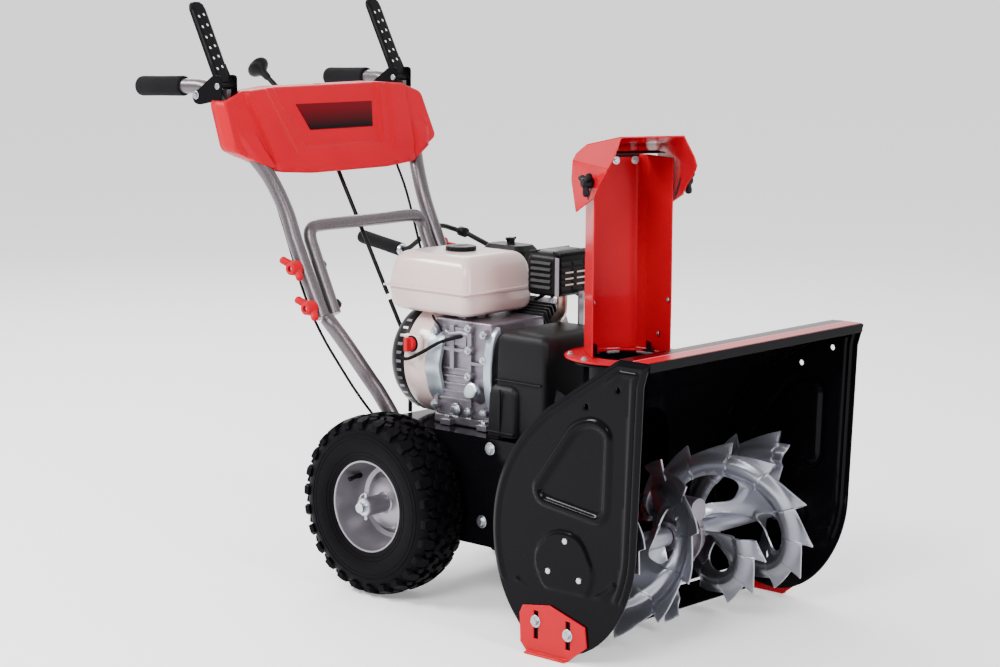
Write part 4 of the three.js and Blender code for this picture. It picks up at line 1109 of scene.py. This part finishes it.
# ---------------------------------------------------------------- handle and controls
UPPER_ROUTE = [(184, 163, 487), (184, 200, 553), (184, 236, 622), (184, 261, 677), (196, 292, 738),
               (220, 326, 792), (231, 351, 834), (233, 374, 868), (234, 398, 890), (236, 430, 901),
               (241, 476, 901), (247.3, 586, 896.6)]
LOWER_ROUTE = [(110, 54, 303), (114, 63, 320), (124, 80, 352), (134, 91, 374), (148, 101, 400),
               (164, 119, 436), (180, 141, 473), (182, 154, 486)]
CROSSBAR_HALF = [(151, 165, 490), (151, 196, 552), (151, 221, 603), (151, 231, 626), (144, 236, 641),
                 (122, 238, 647), (40, 238, 647)]
TUBE_RADIUS = 14
FOLD_Y, FOLD_Z = 173, 506


def mirror(points, sign):
    return [(sign * x, y, z) for x, y, z in points]


def ribbon(path, half):
    """The outline of a flat bar that follows a 2-D path."""
    path = np.asarray(path, float)
    along = np.gradient(path, axis=0)
    across = np.stack([-along[:, 1], along[:, 0]], 1) / np.linalg.norm(along, axis=1)[:, None] * half
    return np.vstack([path + across, (path - across)[::-1]])


def side_block(mould, sign, near, far):
    """A block on the right (-1) or left (1), given by its corners on the left."""
    low, high = sorted((sign * near[0], sign * far[0]))
    return mould.block((low, *near[1:]), (high, *far[1:]))


def slab(mould, outline, low, high):
    """A flat plate from a (y, z) outline, between two X planes."""
    return mould.rings([[(x, y, z) for y, z in outline] for x in (low, high)])


def build_tubes():
    for side, sign in SIDES:
        upper = Mould().pipe(smooth_path(mirror(UPPER_ROUTE, sign)), TUBE_RADIUS, sides=36)
        side_block(upper, sign, (227, 362, 876), (237, 392, 899))
        upper.done(f"upper_tube_{side}_skin", "grey_tube", "handle", replaces=f"upper_tube_{side}", smooth=50)
        lower = Mould().pipe(smooth_path(mirror(LOWER_ROUTE, sign)), TUBE_RADIUS, sides=36)
        slab(lower, ribbon([(150, 466), (180, 494), (204, 537), (228, 580)], 10.5), sign * 164, sign * 169.4)
        side_block(lower, sign, (92, 30, 303.4), (127, 71, 308))
        lower.done(f"lower_tube_{side}_skin", "grey_tube", "frame", replaces=f"lower_tube_{side}", smooth=50)

        start, end = (Vector((sign * x, y, z)) for x, y, z in ((241, 476, 901), (248, 597.5, 896)))
        length = (end - start).length
        profile = [(0, 15.5), (0.6, 17.4), (2.6, 18.8), (4, 19), (length * 0.5, 18.6), (length - 9, 19),
                   (length - 4.6, 18.2), (length - 1.4, 15.6), (length - 0.2, 11)]
        foam = Mould().lathe(start, end - start, profile, 40)
        foam.done(f"grip_{side}_foam", "foam", "handle", replaces=f"grip_{side}", smooth=60)

        for level, y, z in (("lower", FOLD_Y, FOLD_Z), ("upper", 213, 576)):
            build_handle_knob(side, sign, level, y, z)
    bar = Mould().pipe(smooth_path(CROSSBAR_HALF + mirror(CROSSBAR_HALF[::-1], -1)), 12, sides=32)
    bar.done("crossbar_skin", "grey_tube", "handle", replaces="crossbar", smooth=50)


def build_handle_knob(side, sign, level, y, z):
    """A two-winged knob on a stud through the handle tubes, with its nut on the inside."""
    nut = Mould().hexagon((sign * 138.8, y, z), (-sign, 0, 0), 12, 7)
    nut.done(f"tube_nut_{level}_{side}", "dark_steel", "handle", bevel=0.3, rounds=1)
    knob = Mould()
    profile = [(0, 10), (0, 13.6), (1.4, 14.6), (9, 14), (15, 12.4), (20.6, 11.6), (22, 10.4), (22, 5.6),
               (16, 5.2)]
    knob.lathe((sign * 198.6, y, z), (sign, 0, 0), profile, 30)
    wing = ((3, 0), (10, 2.5), (17, 6), (23, 9.5), (27.5, 11.5), (30.5, 12.4), (31.6, 12.6))
    for turn in (-1, 1):
        across = Vector((0, 0.848 * turn, 0.530 * turn))
        path = [Vector((sign * (205 + lift), y, z)) + across * reach for reach, lift in wing]
        knob.pipe(path, [10, 8.6, 7.4, 7.2, 7.4, 5.4, 2.4], sides=18, squash=0.92)
    knob.done(f"handle_knob_{level}_{side}_wings", "red_plastic", f"knob_{level}_{side}",
              replaces=f"handle_knob_{level}_{side}", smooth=55)
    pin = Mould().lathe((sign * 199, y, z), (sign, 0, 0), [(0, 4), (16.6, 4), (17.2, 3.2)], 16)
    pin.done(f"handle_knob_{level}_{side}_stud", "zinc", f"knob_{level}_{side}")


PANEL_HALF = [(100, 742), (178, 748), (266, 790), (260, 876), (211, 894), (144, 899)]
PANEL_FACE = [(-178, 748), (-100, 742), *PANEL_HALF, *[(-x, z) for x, z in PANEL_HALF[:1:-1]]]
PANEL_POCKET = rounded([(-146, 912), (-104, 784), (104, 784), (146, 912)], 5)
PANEL_LABEL = [(-91, 867), (110, 865), (93, 818), (-73, 819)]


def panel_height(points):
    across = np.abs(points[:, 0])
    up = (points[:, 1] - 750) / 150
    outer, inner = 179 + 28 * up, 104 + 42 * up
    shoulder = 9 * smooth_step(across, outer + 3.2, outer)
    pocket_edge = line_distance(points, PANEL_POCKET, True)
    pocket = 7 * inside(points, PANEL_POCKET) * smooth_step(pocket_edge, 0, 5)
    crease = 3.6 * smooth_step(across, inner + 12, inner + 19) * smooth_step(points[:, 1], 766, 790)
    wing = 3.0 * smooth_step(np.abs(across - 246), 5, 2)
    tube_x = np.interp(points[:, 1], [738, 792, 834], [196, 220, 231])
    hump = 9 * smooth_step(np.abs(across - tube_x), 24, 15) * smooth_step(points[:, 1], 836, 800)
    return np.maximum(shoulder + crease, hump + wing) - pocket


def panel_space(u, v, h):
    return (u, 285 + (v - 748) * 0.425 + 8 * (u / 266) ** 2 - h, v)


def inset(ring, distance):
    """A ring moved inwards, point by point; its points run counter-clockwise."""
    ring = np.asarray(ring, float)
    along = np.roll(ring, -1, axis=0) - np.roll(ring, 1, axis=0)
    normal = np.stack([-along[:, 1], along[:, 0]], 1) / np.linalg.norm(along, axis=1)[:, None]
    return ring + normal * distance


def build_panel():
    outline = rounded(PANEL_FACE, 9)
    outline = evenly(np.vstack([outline, outline[:1]]), 4.0)[:-1]
    face = inset(outline, 5.0)
    heights = panel_height(face)
    rows = []
    roll = [(5 - 5 * math.sin(a), 5 - 5 * math.cos(a)) for a in np.linspace(0, math.pi / 2, 6)]
    for way_in, back in roll + [(0, 22), (0, 39)]:
        moved = inset(outline, way_in)
        rows.append([panel_space(u, v, h - back) for (u, v), h in zip(moved, heights)])
    count = len(outline)
    skirts = []
    for k in range(count):
        u, v = outline[k]
        shallow = (209 < abs(u) < 253 and v > 870) or (abs(u) < 8 and v > 890) or (abs(u) < 172 and v < 760)
        deep = rows[:6] if shallow else rows
        skirts.append([[row[k], row[(k + 1) % count]] for row in deep])
    folds = [[(sign * (low + d), 752), (sign * (high + d), 897)] for sign in (-1, 1)
             for low, high, steps in ((179, 207, (0, 1.6, 3.2)), (104, 146, (12, 15.5, 19))) for d in steps]
    folds += [offset_ring(PANEL_POCKET, side * d) for d in (0.4, 2.7, 5.2) for side in (-1, 1)]
    folds += [[(sign * x, 792), (sign * x, 872)] for sign in (-1, 1) for x in (239, 244, 248, 253)]
    folds = [evenly(fold, 4.0) for fold in folds if len(fold) > 1]
    folds = [fold[inside(fold, face) & (line_distance(fold, face, True) > 2)] for fold in folds]
    plate("control_panel_shell", face, panel_height, panel_space, "red_plastic", "handle", spacing=5,
          lines=folds, replaces="control_panel", thickness=3.0, bevel=0, skirts=skirts)
    build_panel_label()


def build_panel_label():
    """A thin plate in the pocket that follows the panel's curve."""
    top_left, top_right, low_right, low_left = (np.array(corner, float) for corner in PANEL_LABEL)
    label = Mould()
    sheets = []
    for lift in (3.6, 4.8):
        sheet = []
        for t in np.linspace(0, 1, 7):
            left = top_left + (low_left - top_left) * t
            right = top_right + (low_right - top_right) * t
            sheet.append([panel_space(*(left + (right - left) * s), lift) for s in np.linspace(0, 1, 25)])
        sheets.append(sheet)
    border = [[*sheet[0], *[row[-1] for row in sheet[1:]], *sheet[-1][-2::-1],
               *[row[0] for row in sheet[-2:0:-1]]] for sheet in sheets]
    label.rings(border, cap=False)
    for sheet in sheets:
        label.add([p for row in sheet for p in row], grid_faces(len(sheet) - 1, len(sheet[0]) - 1))
    label.done("panel_label", label_look(), "handle", bevel=0.4, rounds=1)


def label_look():
    """A plain dark plate that fades from deep red at the top to black at the bottom."""
    material = surface("panel_label", (0.1, 0.001, 0.004), 0.25, specular=0.08, bump=0.02)
    nodes, links = material.node_tree.nodes, material.node_tree.links
    where = nodes.new("ShaderNodeTexCoord")
    split = nodes.new("ShaderNodeSeparateXYZ")
    links.new(where.outputs["Object"], split.inputs["Vector"])
    fade = set_inputs(nodes.new("ShaderNodeMapRange"), {"From Min": 0.822, "From Max": 0.858})
    links.new(split.outputs["Z"], fade.inputs["Value"])
    ramp = nodes.new("ShaderNodeValToRGB")
    low, high = ramp.color_ramp.elements
    low.color = (0.003, 0.001, 0.0015, 1)
    high.color = (0.1, 0.0005, 0.004, 1)
    links.new(fade.outputs["Result"], ramp.inputs["Fac"])
    links.new(ramp.outputs["Color"], nodes["Principled BSDF"].inputs["Base Color"])
    return material


def build_levers():
    lean = math.radians(28)
    rise = Vector((0, math.sin(lean), math.cos(lean)))
    front = Vector((0, -math.cos(lean), math.sin(lean)))
    half, top = 18, 158
    outline = [(-half, 6), (half, 6)]
    outline += [(half * math.cos(a), top + half * math.sin(a)) for a in np.linspace(0, math.pi, 19)]
    outline = evenly(np.vstack([outline, outline[:1]]), 3.0)[:-1]
    dots = [circle((u, highest - 21.5 * k), 3.1, 10)
            for k in range(6) for u, highest in ((-6.5, 142.5), (6.5, 146))]
    for side, sign in SIDES:
        pivot = Vector((sign * 231, 372, 905))

        def blade_space(u, v, h):
            return tuple(pivot + Vector((u, 0, 0)) + rise * v + front * h)

        def blade_height(points):
            rim = line_distance(points, outline, True)
            return np.where(points[:, 1] > 10, -7.5 * smooth_step(rim, 4.5, 0.0) ** 1.5, 0.0) + 2

        plate(f"lever_{side}_blade", outline, blade_height, blade_space, "black_satin", f"lever_{side}",
              spacing=3.0, holes=dots, replaces=f"lever_{side}", thickness=2.2, bevel=0.3)
        yoke = Mould()
        turn = frame_on(pivot, (1, 0, 0), rise)
        for edge in (-17.6, 15.6):
            yoke.rings([[tuple(turn @ Vector((x, u, v))) for u, v in
                         ((-6, -7), (6, -7), (9, 0), (8, 18), (4, 44), (-2, 44), (-4, 10), (-7, 0))]
                        for x in (edge, edge + 2)])
        yoke.lathe(pivot - Vector((17.9, 0, 0)), (1, 0, 0), [(0, 5), (35.8, 5)], 20)
        yoke.done(f"lever_{side}_yoke", "black_satin", f"lever_{side}", bevel=0.4, rounds=1)
        cheek = rounded([(362, 880), (362, 925), (385, 925), (445, 885), (440, 872), (425, 868)], 8, 4)
        bracket = Mould()
        for low in (211, 249.2):
            slab(bracket, cheek, sign * low, sign * (low + 2))
        side_block(bracket, sign, (211, 428, 876), (251, 440, 878))
        bracket.done(f"lever_bracket_{side}", "black_enamel", "handle", bevel=0.5)
        bolts = Mould()
        for face, way in ((251.2, 1), (211, -1)):
            bolts.hexagon((sign * face, 433, 886), (sign * way, 0, 0), 9, 4.5)
            bolts.lathe((sign * face, 372, 905), (sign * way, 0, 0), [(0, 6), (1.5, 6), (2.2, 5)], 20)
        bolts.done(f"lever_bolts_{side}", "zinc", "handle", bevel=0.3, rounds=1)


WORM, COUPLER = Vector((113, -396, 478)), Vector((206, 168, 612))
CRANK_WAY = Vector((0.13, 0.985, 0.11)).normalized()


def crank_at(distance, drop=0.0):
    return COUPLER + CRANK_WAY * distance - Vector((0, 0, drop))


def build_crank():
    way = (COUPLER - WORM).normalized()
    rod = Mould().pipe([WORM, COUPLER - way * 8], 5, sides=20)
    profile = [(0, 6.5)]
    for k in range(13):
        profile += [(2 + k * 3.2, 7.2), (3 + k * 3.2, 8.6), (4.2 + k * 3.2, 8.6)]
    rod.lathe(WORM, way, profile + [(44, 7)], 24)
    rod.done("crank_rod_shaft", "black_satin", "crank_rod", replaces="crank_rod", smooth=40)
    shaft = Mould()
    bend = bezier(crank_at(60), crank_at(88), crank_at(110, 17), count=8)
    second = bezier(crank_at(168, 59), crank_at(190, 76), crank_at(215, 76), count=8)
    ends = [crank_at(240, 76), crank_at(345, 76)]
    shaft.pipe([crank_at(14), crank_at(40), *bend, *second, *ends], 5, sides=22)
    shaft.lathe(crank_at(0), CRANK_WAY, [(0, 7), (0, 9), (1, 9.6), (17, 9.6), (19, 8), (22, 5.6)], 24)
    shaft.done("crank_handle_shaft", "black_satin", "crank_handle", replaces="crank_handle", smooth=50)
    foam = Mould().lathe(crank_at(205, 76), CRANK_WAY,
                         [(0, 12), (1, 13.4), (4, 14), (70, 13.6), (126, 14), (132, 13), (135, 10)], 36)
    foam.done("crank_grip_foam", "foam", "crank_handle", replaces="crank_grip", smooth=60)
    ferrule = Mould().lathe(crank_at(198, 76), CRANK_WAY, [(0, 9), (0.6, 11), (6, 12.2), (7.6, 12.2)], 30)
    ferrule.done("crank_ferrule", "zinc", "crank_handle", smooth=40)


DRIVE_ROUTE = [(-213, 376, 888), (-212, 370, 850), (-203, 348, 806), (-188, 316, 750), (-178, 284, 668),
               (-178, 243, 575), (-178, 207, 503), (-176, 172, 450), (-166, 143, 404), (-146, 117, 352),
               (-126, 97, 312), (-112, 80, 285)]
AUGER_ROUTE = [(213, 376, 888), (205, 368, 855), (178, 350, 815), (158, 322, 765), (150, 276, 690),
               (150, 240, 590), (142, 205, 520), (130, 156, 440), (110, 114, 366), (101, 92, 318),
               (100, 78, 280)]
SHIFT_ROUTE = [(0, 172, 501), (0, 168, 494), (0, 150, 464), (0, 126, 423), (0, 119, 395), (0, 118, 340),
               (0, 118, 292)]


def build_controls():
    lever = Mould()
    hinge, knob = Vector((0, 352, 800)), Vector((0, 535, 924))
    way = (knob - hinge).normalized()
    lever.pipe([hinge, hinge + way * 100, knob - way * 6], 5, sides=20)
    lever.pipe([hinge, (0, 331, 768)], 6, sides=20)
    lever.lathe((-10, 352, 800), (1, 0, 0), [(0, 9), (20, 9)], 24)
    lever.done("shift_lever_arm", "black_satin", "shift_lever", replaces="shift_lever", smooth=50)
    profile = [(-34, 5.4), (-30, 7), (-20, 7.6), (-14, 9), (-9, 13), (-5, 18), (-1, 21.4), (3, 22.6),
               (7, 21.6), (9.6, 18), (10.2, 14), (9.6, 13), (8.8, 5)]
    head = Mould().lathe(knob, way, profile, 40)
    head.done("shift_knob", "black_plastic", "shift_lever", smooth=60)
    rod = Mould().pipe([(0, 323, 757), (0, 250, 634), (0, 178.2, 511.6)], 4, sides=18)
    rod.lathe((0, 323, 757), (0, -0.51, -0.86), [(-1, 5.5), (14, 5.5), (15, 4.4)], 18)
    rod.done("shift_rod_bar", "black_satin", "shift_rod", replaces="shift_rod", smooth=50)
    link = Mould().pipe(smooth_path(SHIFT_ROUTE), 4, sides=18)
    link.done("shift_link_bar", "black_satin", "shift_link", replaces="shift_link", smooth=50)
    for name, route in (("drive_cable", DRIVE_ROUTE), ("auger_cable", AUGER_ROUTE)):
        sheath = Mould().pipe(smooth_path(route), 2.5, sides=12)
        cable = sheath.done(f"{name}_sheath", "rubber", None, replaces=name, smooth=60)
        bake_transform(cable)


for build in (build_camera, build_world, build_lights, build_floor, build_housing, build_augers,
              build_chute, build_deflector_knobs, build_wheels, build_tank, build_fan, build_crankcase,
              build_cylinder, build_air_cleaner, build_muffler, build_belt_cover, build_tubes, build_panel,
              build_levers, build_crank, build_controls):
    build()
